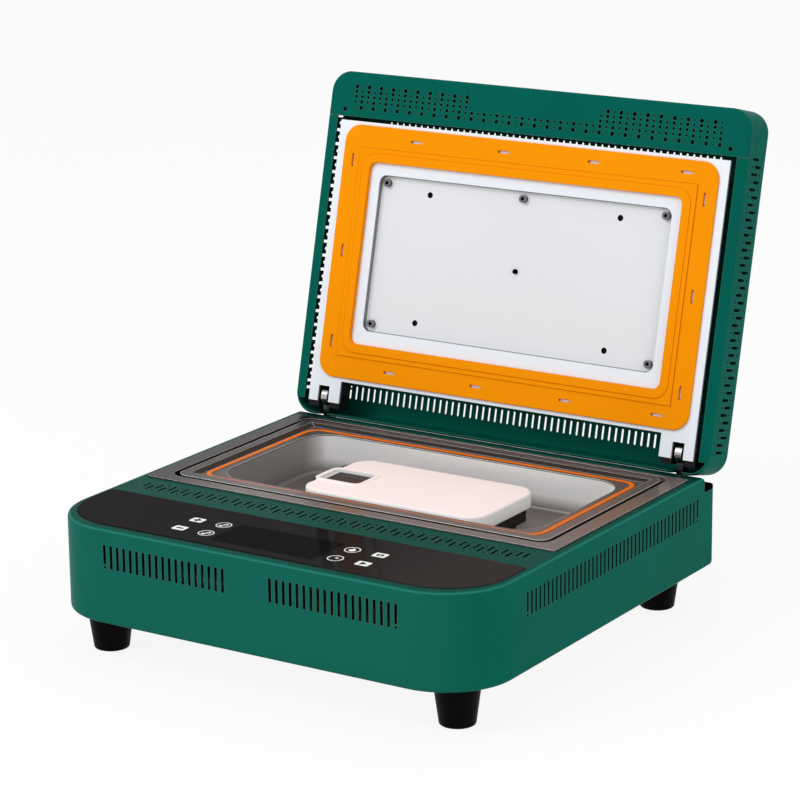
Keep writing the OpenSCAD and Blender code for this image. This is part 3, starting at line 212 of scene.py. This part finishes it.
def surface(name, color, rough, metal=0.0, vary=0.08, patch=18, grain=900, grain_depth=0.00002,
            strength=0.25, rough_vary=0.06, stretch=(1, 1, 1), edge=0.0, painted_edge_highlight=0.0,
            crease_shade=(), zones=(), coat=0.0, coat_rough=0.1, specular=0.5, sheen=0.0):
    """A finish whose colour, gloss and grain vary a little.

    Its edges get a painted highlight, paler by the edge amount. Each crease is the reach, limits and
    colour of painted shade in its corners.
    Each zone is a colour and the share calls that say where it lies; most zones here are painted light,
    shade or reflection.
    """
    t = Tree(name)
    patches = t.noise(patch, PATCH_DETAIL, PATCH_ROUGH)
    tone = t.mix(t.ramp(patches, 0, 1), shade(color, 1 - vary), shade(color, 1 + vary))
    edge_normal = t.bevel(edge) if edge > 0 else None
    # Zones: colours laid on by place or facing, mostly painted light, shade and reflection
    for zone_color, calls in zones:
        shares = [getattr(t, kind)(axis, low, high) for kind, axis, low, high in calls]
        share = shares[0]
        for other in shares[1:]:
            share = t.both(share, other)
        tone = t.mix(share, tone, zone_color)
    # Painted highlight: a paler colour where the bevelled normal leaves the face's own
    if painted_edge_highlight > 0:
        highlight_color = tuple(c + (1 - c) * painted_edge_highlight for c in color)
        tone = t.mix(t.edge_share(edge_normal), tone, highlight_color)
    # Painted shade: a darker colour in corners, slots and holes, found by ambient occlusion
    for reach, low, high, crease_shade_color in crease_shade:
        tone = t.mix(t.corner_share(reach, low, high), crease_shade_color, tone)
    t.link(tone, t.shader.inputs["Base Color"])
    grains = t.noise(grain, GRAIN_DETAIL, GRAIN_ROUGH, stretch)
    t.link(t.ramp(grains, rough - rough_vary, rough + rough_vary), t.shader.inputs["Roughness"])
    t.link(t.bump(grains, strength, grain_depth, edge_normal), t.shader.inputs["Normal"])
    t.shader.inputs["Metallic"].default_value = metal
    t.shader.inputs["Specular IOR Level"].default_value = specular
    t.shader.inputs["Coat Weight"].default_value = coat
    t.shader.inputs["Coat Roughness"].default_value = coat_rough
    t.shader.inputs["Sheen Weight"].default_value = sheen
    return t.mat


GREEN = (0.0030, 0.121, 0.089)
LID_GREEN = (0.0012, 0.112, 0.084)

# The green's painted light: a paler front that is a painted reflection, painted shade on the upward
# flats, a painted highlight on the rounded top edge, and painted shade in the walls of the deck's slots
GREEN_PAINTED_LIGHT = [
    ((0.0075, 0.124, 0.094), [("facing", "Y", -0.6, -0.95)]),
    ((0.0030, 0.066, 0.050), [("facing", "Z", 0.93, 0.99)]),
    ((0.022, 0.175, 0.140), [("facing", "Z", 0.40, 0.60), ("facing", "Z", 0.90, 0.75)]),
    ((0.0002, 0.004, 0.003), [("facing", "Z", 0.7, 0.3), ("along", "Z", 98.9, 98.6),
                              ("along", "X", -165, -160), ("along", "X", 165, 160),
                              ("along", "Y", -150, -145), ("along", "Y", -62, -66)]),
]

# The chamber's painted light: painted shade on the floor and the left wall, a painted brown reflection on
# the rim, and painted shade on the rim's left side and in the groove's walls
STEEL_PAINTED_LIGHT = [
    ((0.17, 0.145, 0.136), [("along", "Z", 79, 67.5)]),
    ((0.21, 0.20, 0.195), [("along", "X", -122, -133)]),
    ((0.130, 0.104, 0.096), [("along", "Z", 96.4, 96.8)]),
    ((0.030, 0.026, 0.025), [("along", "Z", 96.4, 96.8), ("along", "X", -90, -150)]),
    ((0.030, 0.025, 0.023), [("along", "Z", 97.55, 97.75), ("along", "Z", 99.80, 99.60)]),
]

# The lid's seal: painted shade on the walls of its square step, and of its ridge
ORANGE_PAINTED_SHADE = [
    ((0.62, 0.075, 0.0), [("lid_along", "Z", -2.12, -2.22), ("lid_along", "Z", -2.68, -2.55)]),
    ((0.80, 0.150, 0.0), [("lid_along", "Z", -2.74, -2.84), ("lid_along", "Z", -3.18, -3.05)]),
]

# The lid's plate: its face, paler and bluer than the recess's floor, and painted shade on the walls of
# its recess
PLATE_FACE_AND_RECESS_SHADE = [
    ((0.87, 0.93, 1.0), [("lid_along", "Z", 0.5, 0.1)]),
    ((0.22, 0.22, 0.235), [("lid_along", "Z", 0.25, 0.6),
                           ("lid_along", "Z", RECESS_DROP - 0.2, RECESS_DROP - 0.6)]),
]

# Finishes. Their creases are painted shade in corners, slots and holes, and their paler edges are painted
# highlights.
SURFACES = {
    "green": surface("green_paint", GREEN, 0.34, vary=0.05, grain=1400, grain_depth=0.00003,
                     strength=0.3, edge=0.0007, painted_edge_highlight=0.10, specular=0.009, zones=GREEN_PAINTED_LIGHT,
                     crease_shade=[(0.025, 0.66, 0.90, (0.0002, 0.002, 0.0015))]),
    "lid_green": surface("lid_green_paint", LID_GREEN, 0.36, vary=0.05, grain=1400,
                         grain_depth=0.00003, strength=0.3, edge=0.0006, painted_edge_highlight=0.10,
                         specular=0.012, crease_shade=[(0.006, 0.35, 0.75, (0.0002, 0.012, 0.009))]),
    "rubber": surface("foot_rubber", (0.0020, 0.0020, 0.0022), 0.42, vary=0.15, grain=1600,
                      edge=0.0004, specular=0.03),
    "screw": surface("screw_steel", (0.50, 0.49, 0.48), 0.26, 1.0, vary=0.06, grain=1200,
                     edge=0.0002, crease_shade=[(0.0025, 0.40, 0.80, (0.006, 0.006, 0.006))]),
    "bolt": surface("bolt_steel", (0.16, 0.16, 0.165), 0.16, 1.0, vary=0.06, grain=1200,
                    edge=0.0002, painted_edge_highlight=0.5,
                    crease_shade=[(0.0025, 0.55, 0.92, (0.003, 0.003, 0.003))]),
    "zinc": surface("zinc_sheet", (0.52, 0.53, 0.55), 0.42, 1.0, vary=0.14, patch=70, grain=500),
    "black_sheet": surface("black_sheet", (0.0028, 0.0028, 0.003), 0.60, vary=0.1, grain=1500,
                           edge=0.0003, specular=0.0),
    # The panel's right part is warmer and paler: a painted reflection
    "panel": surface("panel_glass", (0.0125, 0.0112, 0.0118), 0.12, vary=0.05, grain=300,
                     grain_depth=0.000002, strength=0.1, rough_vary=0.02, edge=0.0003,
                     painted_edge_highlight=0.12, specular=0.0, coat=0.06, coat_rough=0.05,
                     zones=[((0.032, 0.0265, 0.0245), [("along", "X", 30, 130)])]),
    "display": surface("display_glass", (0.0070, 0.0070, 0.0076), 0.10, vary=0.05, grain=300,
                       grain_depth=0.000002, strength=0.1, rough_vary=0.02, specular=0.0,
                       coat=0.03, coat_rough=0.04),
    "print": surface("white_print", (0.88, 0.88, 0.86), 0.55, vary=0.02, grain=2000, specular=0.1),
    "print_dark": surface("dark_print", (0.02, 0.02, 0.02), 0.5, vary=0.05, grain=2000,
                          specular=0.05),
    "board": surface("board_lacquer", (0.012, 0.09, 0.035), 0.35, vary=0.15, patch=90, grain=700),
    "nylon": surface("nylon", (0.75, 0.75, 0.73), 0.5, vary=0.04, grain=900),
    "steel": surface("drawn_steel", (0.99, 0.99, 0.985), 0.32, 0.22, vary=0.01, patch=9, grain=900,
                     grain_depth=0.000004, strength=0.12, rough_vary=0.03, stretch=(1, 12, 12),
                     edge=0.0006, painted_edge_highlight=0.6, specular=0.10, zones=STEEL_PAINTED_LIGHT),
    # The frame's left part is darker: painted shade
    "frame_steel": surface("frame_steel", (0.160, 0.128, 0.116), 0.24, 0.25, vary=0.05, patch=7,
                           grain=900, grain_depth=0.000003, strength=0.12, rough_vary=0.03,
                           stretch=(1, 16, 16), edge=0.0005, painted_edge_highlight=0.5, specular=0.05,
                           zones=[((0.018, 0.014, 0.013), [("along", "X", -90, -150)])]),
    "gasket_black": surface("gasket_black", (0.004, 0.004, 0.004), 0.5, vary=0.1, grain=1200,
                            specular=0.05),
    "orange": surface("orange_silicone", (1.0, 0.315, 0.0015), 0.36, vary=0.03, patch=12,
                      grain=900, grain_depth=0.00002, strength=0.2, edge=0.0005, specular=0.02,
                      zones=ORANGE_PAINTED_SHADE, crease_shade=[(0.0015, 0.35, 0.80, (0.50, 0.06, 0.0))]),
    "seal_orange": surface("seal_silicone", (0.78, 0.165, 0.010), 0.38, vary=0.06, patch=14,
                           grain=900, edge=0.0004, specular=0.03,
                           crease_shade=[(0.0015, 0.4, 0.9, (0.20, 0.03, 0.002))]),
    "mould": surface("mould_metal", (0.018, 0.0165, 0.016), 0.38, 0.5, vary=0.12, patch=60,
                     grain=900, edge=0.0004, specular=0.2),
    # The case's sides are a plainer white than its pinkish top: painted light, set by which way a face
    # turns
    "case": surface("case_white", (0.97, 0.86, 0.83), 0.42, vary=0.015, patch=10, grain=1500,
                    grain_depth=0.00001, strength=0.2, edge=0.0006, painted_edge_highlight=0.7, specular=0.2,
                    zones=[((0.93, 0.93, 0.925), [("facing", "Z", 0.85, 0.5)])]),
    "motor": surface("motor_can", (0.45, 0.46, 0.48), 0.32, 1.0, vary=0.08, grain=800),
    "plastic": surface("black_plastic", (0.007, 0.007, 0.0075), 0.48, vary=0.12, grain=1700,
                       grain_depth=0.00005, strength=0.4, edge=0.0003, painted_edge_highlight=0.03,
                       specular=0.12),
    "hose": surface("hose_silicone", (0.55, 0.55, 0.57), 0.35, vary=0.05, grain=500),
    "brass": surface("brass", (0.70, 0.50, 0.20), 0.28, 1.0, vary=0.08, grain=900),
    "board_tan": surface("board_tan", (0.42, 0.31, 0.12), 0.5, vary=0.12, patch=70, grain=700),
    "aluminium": surface("aluminium", (0.62, 0.63, 0.65), 0.34, 1.0, vary=0.06, grain=500,
                         stretch=(1, 1, 12)),
    "red": surface("rocker_red", (0.35, 0.01, 0.01), 0.25, vary=0.06, grain=900, edge=0.0003,
                   specular=0.2),
    "chrome": surface("chrome_arm", (0.42, 0.42, 0.43), 0.20, 1.0, vary=0.05, patch=40, grain=600,
                      grain_depth=0.000003, edge=0.0006,
                      crease_shade=[(0.006, 0.35, 0.80, (0.03, 0.03, 0.03))]),
    "plate": surface("plate_white", (0.825, 0.84, 0.865), 0.42, vary=0.015, patch=7, grain=1300,
                     grain_depth=0.00002, strength=0.25, edge=0.0004, painted_edge_highlight=0.6,
                     specular=0.12, zones=PLATE_FACE_AND_RECESS_SHADE,
                     crease_shade=[(0.0016, 0.22, 0.55, (0.30, 0.30, 0.32)),
                              (0.003, 0.07, 0.20, (0.008, 0.008, 0.008))]),
    "cast": surface("cast_aluminium", (0.50, 0.50, 0.52), 0.5, 1.0, vary=0.1, patch=60, grain=700,
                    grain_depth=0.00008, strength=0.5),
    "sheath": surface("oxidised_sheath", (0.16, 0.14, 0.13), 0.5, 1.0, vary=0.2, patch=50,
                      grain=700),
    "wool": surface("mineral_wool", (0.70, 0.66, 0.55), 0.9, vary=0.15, patch=120, grain=500,
                    grain_depth=0.0006, strength=0.8, sheen=0.3),
    "ceramic": surface("ceramic", (0.66, 0.60, 0.48), 0.4, vary=0.06, grain=900),
}

FINISH = {
    "base_shell": "green", "bottom_plate": "zinc", "bottom_screws": "screw", "feet": "rubber",
    "foot_screws": "screw", "hinge_trough": "black_sheet", "panel_glass": "panel",
    "display_module": "display", "control_board": "board", "board_spacers": "nylon",
    "touch_pads": "screw", "tray_frame": "frame_steel", "vacuum_chamber": "steel",
    "chamber_gasket": "gasket_black", "chamber_seal": "seal_orange", "mould_base": "mould",
    "mould_halves": "mould", "phone_case": "case", "pump_motor": "motor", "pump_head": "plastic",
    "pump_bracket": "zinc", "vacuum_hose": "hose", "vacuum_port": "brass",
    "release_valve": "plastic", "power_board": "board_tan", "power_heatsink": "aluminium",
    "mains_inlet": "plastic", "switch_frame": "plastic", "switch_rocker": "red",
    "fan_frame": "plastic", "fan_rotor": "plastic", "hinge_arm_left": "chrome",
    "hinge_arm_right": "chrome", "hinge_bracket_left": "zinc", "hinge_bracket_right": "zinc",
    "lid_shell": "lid_green", "lid_cover": "lid_green", "cover_screws": "black_sheet",
    "lid_plate": "plate", "plate_bolts": "bolt", "lid_gasket": "orange", "heater_block": "cast",
    "heating_element": "sheath", "insulation_pad": "wool", "heater_clamps": "zinc",
    "thermal_cutout": "ceramic", "temperature_probe": "black_sheet",
    "hinge_block_left": "plastic", "hinge_block_right": "plastic", "hinge_pin_left": "chrome",
    "hinge_pin_right": "chrome", "lid_standoffs": "zinc",
}
for name, obj in NODES.items():
    material = SURFACES[FINISH[name]]
    if not obj.material_slots:
        obj.data.materials.append(material)
    for s in obj.material_slots:
        s.material = material


# Shapes

def new_mesh(name, bm, material, body):
    mesh = bpy.data.meshes.new(name)
    bm.to_mesh(mesh)
    bm.free()
    obj = bpy.data.objects.new(name, mesh)
    bpy.context.scene.collection.objects.link(obj)
    obj.data.materials.append(SURFACES[material])
    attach(obj, body)
    return obj


def skin(bm, rings):
    """Faces between rings of one count of points, the last ring joined to the first."""
    loops = [[bm.verts.new(p) for p in ring] for ring in rings]
    count = len(rings[0])
    for k, here in enumerate(loops):
        there = loops[(k + 1) % len(loops)]
        for j in range(count):
            after = (j + 1) % count
            bm.faces.new((here[j], here[after], there[after], there[j]))


def rounded(w, d, r, steps=8):
    """A rounded rectangle's outline round the origin, in millimetres."""
    pts = []
    for cx, cy, start in ((w / 2 - r, d / 2 - r, 0), (-w / 2 + r, d / 2 - r, 90),
                          (-w / 2 + r, -d / 2 + r, 180), (w / 2 - r, -d / 2 + r, 270)):
        for k in range(steps + 1):
            a = math.radians(start + 90 * k / steps)
            pts.append((cx + r * math.cos(a), cy + r * math.sin(a)))
    return pts


def circle(r, steps=40, cx=0, cy=0):
    turns = [2 * math.pi * k / steps for k in range(steps)]
    return [(cx + r * math.cos(a), cy + r * math.sin(a)) for a in turns]


def add_print(bm, outer, inner, at, low, high):
    """One printed shape with its own thickness: a filled outline, or a ring if inner is given."""
    rings = [outer] if inner is None else [outer, inner]
    edges = []
    for ring in rings:
        verts = [bm.verts.new(base_point(at[0] + x, at[1] + y, high)) for x, y in ring]
        edges += [bm.edges.new((verts[k], verts[(k + 1) % len(verts)])) for k in range(len(verts))]
    filled = bmesh.ops.triangle_fill(bm, use_beauty=True, use_dissolve=False, edges=edges,
                                     normal=(0, 0, 1))
    faces = [f for f in filled["geom"] if isinstance(f, bmesh.types.BMFace)]
    down = bmesh.ops.extrude_face_region(bm, geom=faces)
    for v in [g for g in down["geom"] if isinstance(g, bmesh.types.BMVert)]:
        v.co.z = low * MM


def print_piece(name, shapes, material, low=0.0, high=0.06):
    """Print on the panel's glass, from low to high above it."""
    bm = bmesh.new()
    for outer, inner, at in shapes:
        add_print(bm, outer, inner, at, PANEL_TOP + low, PANEL_TOP + high)
    bmesh.ops.recalc_face_normals(bm, faces=bm.faces)
    return new_mesh(name, bm, material, "base")


def bar(cx, cy, w, d, turn=0.0):
    """A turned rectangle's outline."""
    a = math.radians(turn)
    return [(cx + x * math.cos(a) - y * math.sin(a), cy + x * math.sin(a) + y * math.cos(a))
            for x, y in ((-w / 2, -d / 2), (w / 2, -d / 2), (w / 2, d / 2), (-w / 2, d / 2))]


# The display window, printed darker
print_piece("display_window", [(rounded(84, 39, 0.8), None, (0, -130))], "display", 0.0, 0.03)

# Key fields at both ends, with plain signs
KEY_X = (-73.8, -51.8, 53.1, 75.0)
KEY_Y = (-118.3, -138.6)
fields = [(KEY_X[0], y) for y in KEY_Y] + [(KEY_X[3], y) for y in KEY_Y]
print_piece("key_fields", [(rounded(10.2, 8.2, 1.5), None, at) for at in fields], "print")
plus, minus, both_ways, start = fields
signs = [
    (bar(0, 0, 5.8, 2.0), None, plus),
    (bar(0, 2.05, 2.0, 2.1), None, plus),
    (bar(0, -2.05, 2.0, 2.1), None, plus),
    (bar(0, 0, 5.8, 2.2), None, minus),
    ([(-3.3, 0), (-0.5, -3.0), (-0.5, 3.0)], None, both_ways),
    ([(3.3, 0), (0.5, 3.0), (0.5, -3.0)], None, both_ways),
    ([(-2.2, -3.0), (3.0, 0), (-2.2, 3.0)], None, start),
]
print_piece("key_signs", signs, "print_dark", 0.05, 0.09)

# Round keys: two thermometers, a flame and a clock
rings = [(KEY_X[1], y) for y in KEY_Y] + [(KEY_X[2], y) for y in KEY_Y]
thermometers = rings[:2]
flame, clock = rings[2:]
marks = [(circle(5.7), circle(4.95), at) for at in rings]
for at in thermometers:
    marks.append((bar(0.4, 0.9, 1.5, 5.6, -28), None, at))
    marks.append((circle(1.7, 24, -0.9, -2.1), None, at))
    for k in range(3):
        marks.append((bar(2.7, 1.4 - 1.5 * k, 1.5, 0.45), None, at))
flame_shape = [(0, 3.6), (1.5, 1.3), (2.6, 0.2), (2.2, -2.2),
               (0.4, -3.4), (-1.8, -2.6), (-2.4, -0.4), (-1.1, 1.2)]
marks.append((flame_shape, None, flame))
marks.append((bar(0, 1.3, 0.8, 3.4), None, clock))
marks.append((bar(1.2, -0.1, 2.8, 0.8), None, clock))
for k in range(4):
    a = math.radians(90 * k)
    marks.append((bar(4.4 * math.cos(a), 4.4 * math.sin(a), 1.0, 0.5, 90 * k), None, clock))
print_piece("round_keys", marks, "print")


# The chamber's seal, a round-topped bead where the node's flat ring lies

SEAL_HALF_X = 138.8
SEAL_FRONT = -24.4
SEAL_BACK = 116.2
SEAL_R = 11.4
SEAL_Z = 97.53
BEAD_HALF = 1.9
BEAD_HIGH = 0.45
BEAD_FOOT = 0.12
BEAD_STEPS = 8


def seal_bead():
    """A closed bead along a rounded rectangle, flat below and domed above."""
    mid_y = (SEAL_BACK + SEAL_FRONT) / 2
    path = rounded(2 * SEAL_HALF_X, SEAL_BACK - SEAL_FRONT, SEAL_R, 14)
    section = [(-BEAD_HALF, 0.0)]
    for k in range(BEAD_STEPS + 1):
        a = math.radians(180 - 180 * k / BEAD_STEPS)
        section.append((BEAD_HALF * math.cos(a), BEAD_FOOT + (BEAD_HIGH - BEAD_FOOT) * math.sin(a)))
    section.append((BEAD_HALF, 0.0))
    rings = []
    for k, (x, y) in enumerate(path):
        before = Vector(path[k - 1])
        after = Vector(path[(k + 1) % len(path)])
        run = (after - before).normalized()
        side = Vector((run.y, -run.x))
        rings.append([base_point(x + side.x * a, y + mid_y + side.y * a, SEAL_Z + b) for a, b in section])
    bm = bmesh.new()
    skin(bm, rings)
    bmesh.ops.recalc_face_normals(bm, faces=bm.faces)
    for f in bm.faces:
        f.smooth = True
    return new_mesh("chamber_bead", bm, "seal_orange", "base")


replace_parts(seal_bead(), "chamber_seal")


# The phone case, a thin shell with a rounded edge and a raised frame round its camera opening

CASE_X = 0.7
CASE_Y = 43.3
CASE_L = 151.0
CASE_W = 84.0
CASE_R = 16.0
CASE_LOW = 81.2
CASE_HIGH = 92.2
CASE_WALL = 2.0
CASE_ROUND = 1.9
WINDOW_X = -56.6
WINDOW_Y = 39.5
WINDOW_L = 34.0
WINDOW_W = 26.0
WINDOW_R = 4.2
WINDOW_RIM = 3.3
RIM_HIGH = 0.9
CORNER_STEPS = 12
ROUND_STEPS = 7
SHARP = math.radians(35)


def case_ring(inset, z):
    """The case's outline, drawn in by inset."""
    return [base_point(CASE_X + x, CASE_Y + y, z)
            for x, y in rounded(CASE_L - 2 * inset, CASE_W - 2 * inset, CASE_R - inset, CORNER_STEPS)]


def window_ring(grow, z):
    """The camera opening's outline, widened by grow."""
    return [base_point(WINDOW_X + x, WINDOW_Y + y, z)
            for x, y in rounded(WINDOW_L + 2 * grow, WINDOW_W + 2 * grow, WINDOW_R + grow, CORNER_STEPS)]


def phone_case():
    """Up the outside, over the rounded edge and the window's frame, down the opening and back inside."""
    rings = [case_ring(0.5, CASE_LOW), case_ring(0.15, CASE_LOW + 0.15), case_ring(0, CASE_LOW + 0.5)]
    for k in range(ROUND_STEPS + 1):
        a = math.radians(90 * k / ROUND_STEPS)
        rings.append(case_ring(CASE_ROUND * (1 - math.cos(a)),
                               CASE_HIGH - CASE_ROUND + CASE_ROUND * math.sin(a)))
    rim_top = CASE_HIGH + RIM_HIGH
    inner_top = CASE_HIGH - CASE_WALL
    profile = (
        (WINDOW_RIM + 0.3, CASE_HIGH), (WINDOW_RIM, CASE_HIGH + 0.25), (WINDOW_RIM, rim_top - 0.35),
        (WINDOW_RIM - 0.12, rim_top - 0.1), (WINDOW_RIM - 0.4, rim_top), (0.4, rim_top),
        (0.1, rim_top - 0.12), (0, rim_top - 0.4), (0, inner_top),
    )
    rings += [window_ring(grow, z) for grow, z in profile]
    rings += [case_ring(CASE_WALL + 0.8, inner_top), case_ring(CASE_WALL, inner_top - 0.8),
              case_ring(CASE_WALL, CASE_LOW)]
    bm = bmesh.new()
    skin(bm, rings)
    bmesh.ops.recalc_face_normals(bm, faces=bm.faces)
    obj = new_mesh("phone_case_shell", bm, "case", "base")
    obj.data.polygons.foreach_set("use_smooth", [True] * len(obj.data.polygons))
    obj.data.set_sharp_from_angle(angle=SHARP)
    return obj


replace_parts(phone_case(), "phone_case")


# Dark eyelets in the sensor holes of the lid's plate

EYELET_FLANGE = 2.25
EYELET_OUT = 1.86
EYELET_IN = 1.45
FLANGE_PROUD = 0.15
FLANGE_T = 0.12
LIP = 0.1
RECESS_MID = 117.0
HOLE_X = 81.17
HOLE_U = 48.23


def eyelets():
    low = RECESS_DROP - FLANGE_PROUD
    high = RECESS_DROP + PLATE_T
    profile = (
        (EYELET_FLANGE, low), (EYELET_FLANGE, low + FLANGE_T), (EYELET_OUT, low + FLANGE_T),
        (EYELET_OUT, high), (EYELET_IN, high), (EYELET_IN, low + LIP), (EYELET_IN + LIP, low),
    )
    bm = bmesh.new()
    for sx, su in ((-1, -1), (1, -1), (-1, 1), (1, 1)):
        skin(bm, [[lid_point(sx * HOLE_X + x, RECESS_MID + su * HOLE_U + y, w) for x, y in circle(r, 32)]
                  for r, w in profile])
    bmesh.ops.recalc_face_normals(bm, faces=bm.faces)
    return new_mesh("sensor_eyelets", bm, "black_sheet", "lid")


eyelets()


# Floor, background and light

FLOOR_HALF = 30
FLOOR_DROP = 0.0002
FLOOR_GLOW = 0.88
WORLD_SHOWN = 1.0
WORLD_LIGHT = 0.62


def larger(tree, a, b):
    """The larger of two outputs."""
    m = tree.nodes.new("ShaderNodeMath")
    m.operation = "MAXIMUM"
    tree.links.new(a, m.inputs[0])
    tree.links.new(b, m.inputs[1])
    return m.outputs[0]


def white_stage(name, glow_share):
    """White to the camera and in reflections, and softly shadowed where the object stands."""
    t = Tree(name)
    t.shader.inputs["Base Color"].default_value = (0.9, 0.9, 0.9, 1)
    t.shader.inputs["Roughness"].default_value = 0.9
    glow = t.nodes.new("ShaderNodeEmission")
    glow.inputs["Color"].default_value = (1, 1, 1, 1)
    path = t.nodes.new("ShaderNodeLightPath")
    shown = larger(t.mat.node_tree, path.outputs["Is Camera Ray"], path.outputs["Is Glossy Ray"])
    share = t.span(shown, 0, 1, 0, glow_share)
    mix = t.nodes.new("ShaderNodeMixShader")
    t.link(share, mix.inputs["Fac"])
    t.link(t.shader.outputs["BSDF"], mix.inputs[1])
    t.link(glow.outputs["Emission"], mix.inputs[2])
    t.link(mix.outputs["Shader"], t.nodes["Material Output"].inputs["Surface"])
    return t.mat


floor_bm = bmesh.new()
bmesh.ops.create_grid(floor_bm, x_segments=4, y_segments=4, size=FLOOR_HALF)
floor_mesh = bpy.data.meshes.new("floor")
floor_bm.to_mesh(floor_mesh)
floor_bm.free()
floor = bpy.data.objects.new("floor", floor_mesh)
floor.location = (0, 0, -FLOOR_DROP)
bpy.context.scene.collection.objects.link(floor)
floor.data.materials.append(white_stage("floor_white", FLOOR_GLOW))

world = bpy.data.worlds.new("studio")
bpy.context.scene.world = world
world.use_nodes = True
sky = world.node_tree.nodes["Background"]
sky.inputs["Color"].default_value = (1, 1, 1, 1)
path = world.node_tree.nodes.new("ShaderNodeLightPath")
shown = larger(world.node_tree, path.outputs["Is Camera Ray"], path.outputs["Is Glossy Ray"])
seen = larger(world.node_tree, shown, path.outputs["Is Transmission Ray"])
level = world.node_tree.nodes.new("ShaderNodeMapRange")
level.inputs["To Min"].default_value = WORLD_LIGHT
level.inputs["To Max"].default_value = WORLD_SHOWN
world.node_tree.links.new(seen, level.inputs["Value"])
world.node_tree.links.new(level.outputs["Result"], sky.inputs["Strength"])


def lamp(name, at, aim, size, watts):
    """A square soft lamp at a place in metres, turned to aim."""
    data = bpy.data.lights.new(name, "AREA")
    data.shape = "RECTANGLE"
    data.size = size
    data.size_y = size
    data.energy = watts
    obj = bpy.data.objects.new(name, data)
    obj.location = at
    obj.rotation_mode = "QUATERNION"
    obj.rotation_quaternion = (Vector(aim) - Vector(at)).to_track_quat("-Z", "Y")
    bpy.context.scene.collection.objects.link(obj)


lamp("key", (-0.9, -1.5, 1.7), (0, 0, 0.1), 1.1, 19.5)
lamp("side", (1.8, -0.4, 0.9), (0, 0, 0.12), 0.9, 5.5)
lamp("top", (0.1, 0.5, 2.1), (0, 0, 0.1), 1.2, 6)

# The camera, at the photograph's angle

EYE = base_point(1159.7, -1759.2, 746.7)
LOOK = Vector((-0.52661, 0.80678, -0.26794))
ACROSS = Vector((0.83903, 0.54398, -0.01110))
LENS = 141.70
SENSOR = 36
SHIFT_X = 0.0050
SHIFT_Y = 0.0108

cam_data = bpy.data.cameras.new("camera")
cam_data.lens = LENS
cam_data.sensor_width = SENSOR
cam_data.shift_x = SHIFT_X
cam_data.shift_y = SHIFT_Y
cam_data.clip_start = 0.05
cam_data.clip_end = 100
cam = bpy.data.objects.new("camera", cam_data)
bpy.context.scene.collection.objects.link(cam)
back = -LOOK.normalized()
across = ACROSS.normalized()
upward = back.cross(across).normalized()
cam.matrix_world = Matrix((
    (across.x, upward.x, back.x, EYE.x),
    (across.y, upward.y, back.y, EYE.y),
    (across.z, upward.z, back.z, EYE.z),
    (0, 0, 0, 1),
))
bpy.context.scene.camera = cam
bpy.context.scene.view_settings.view_transform = "Standard"
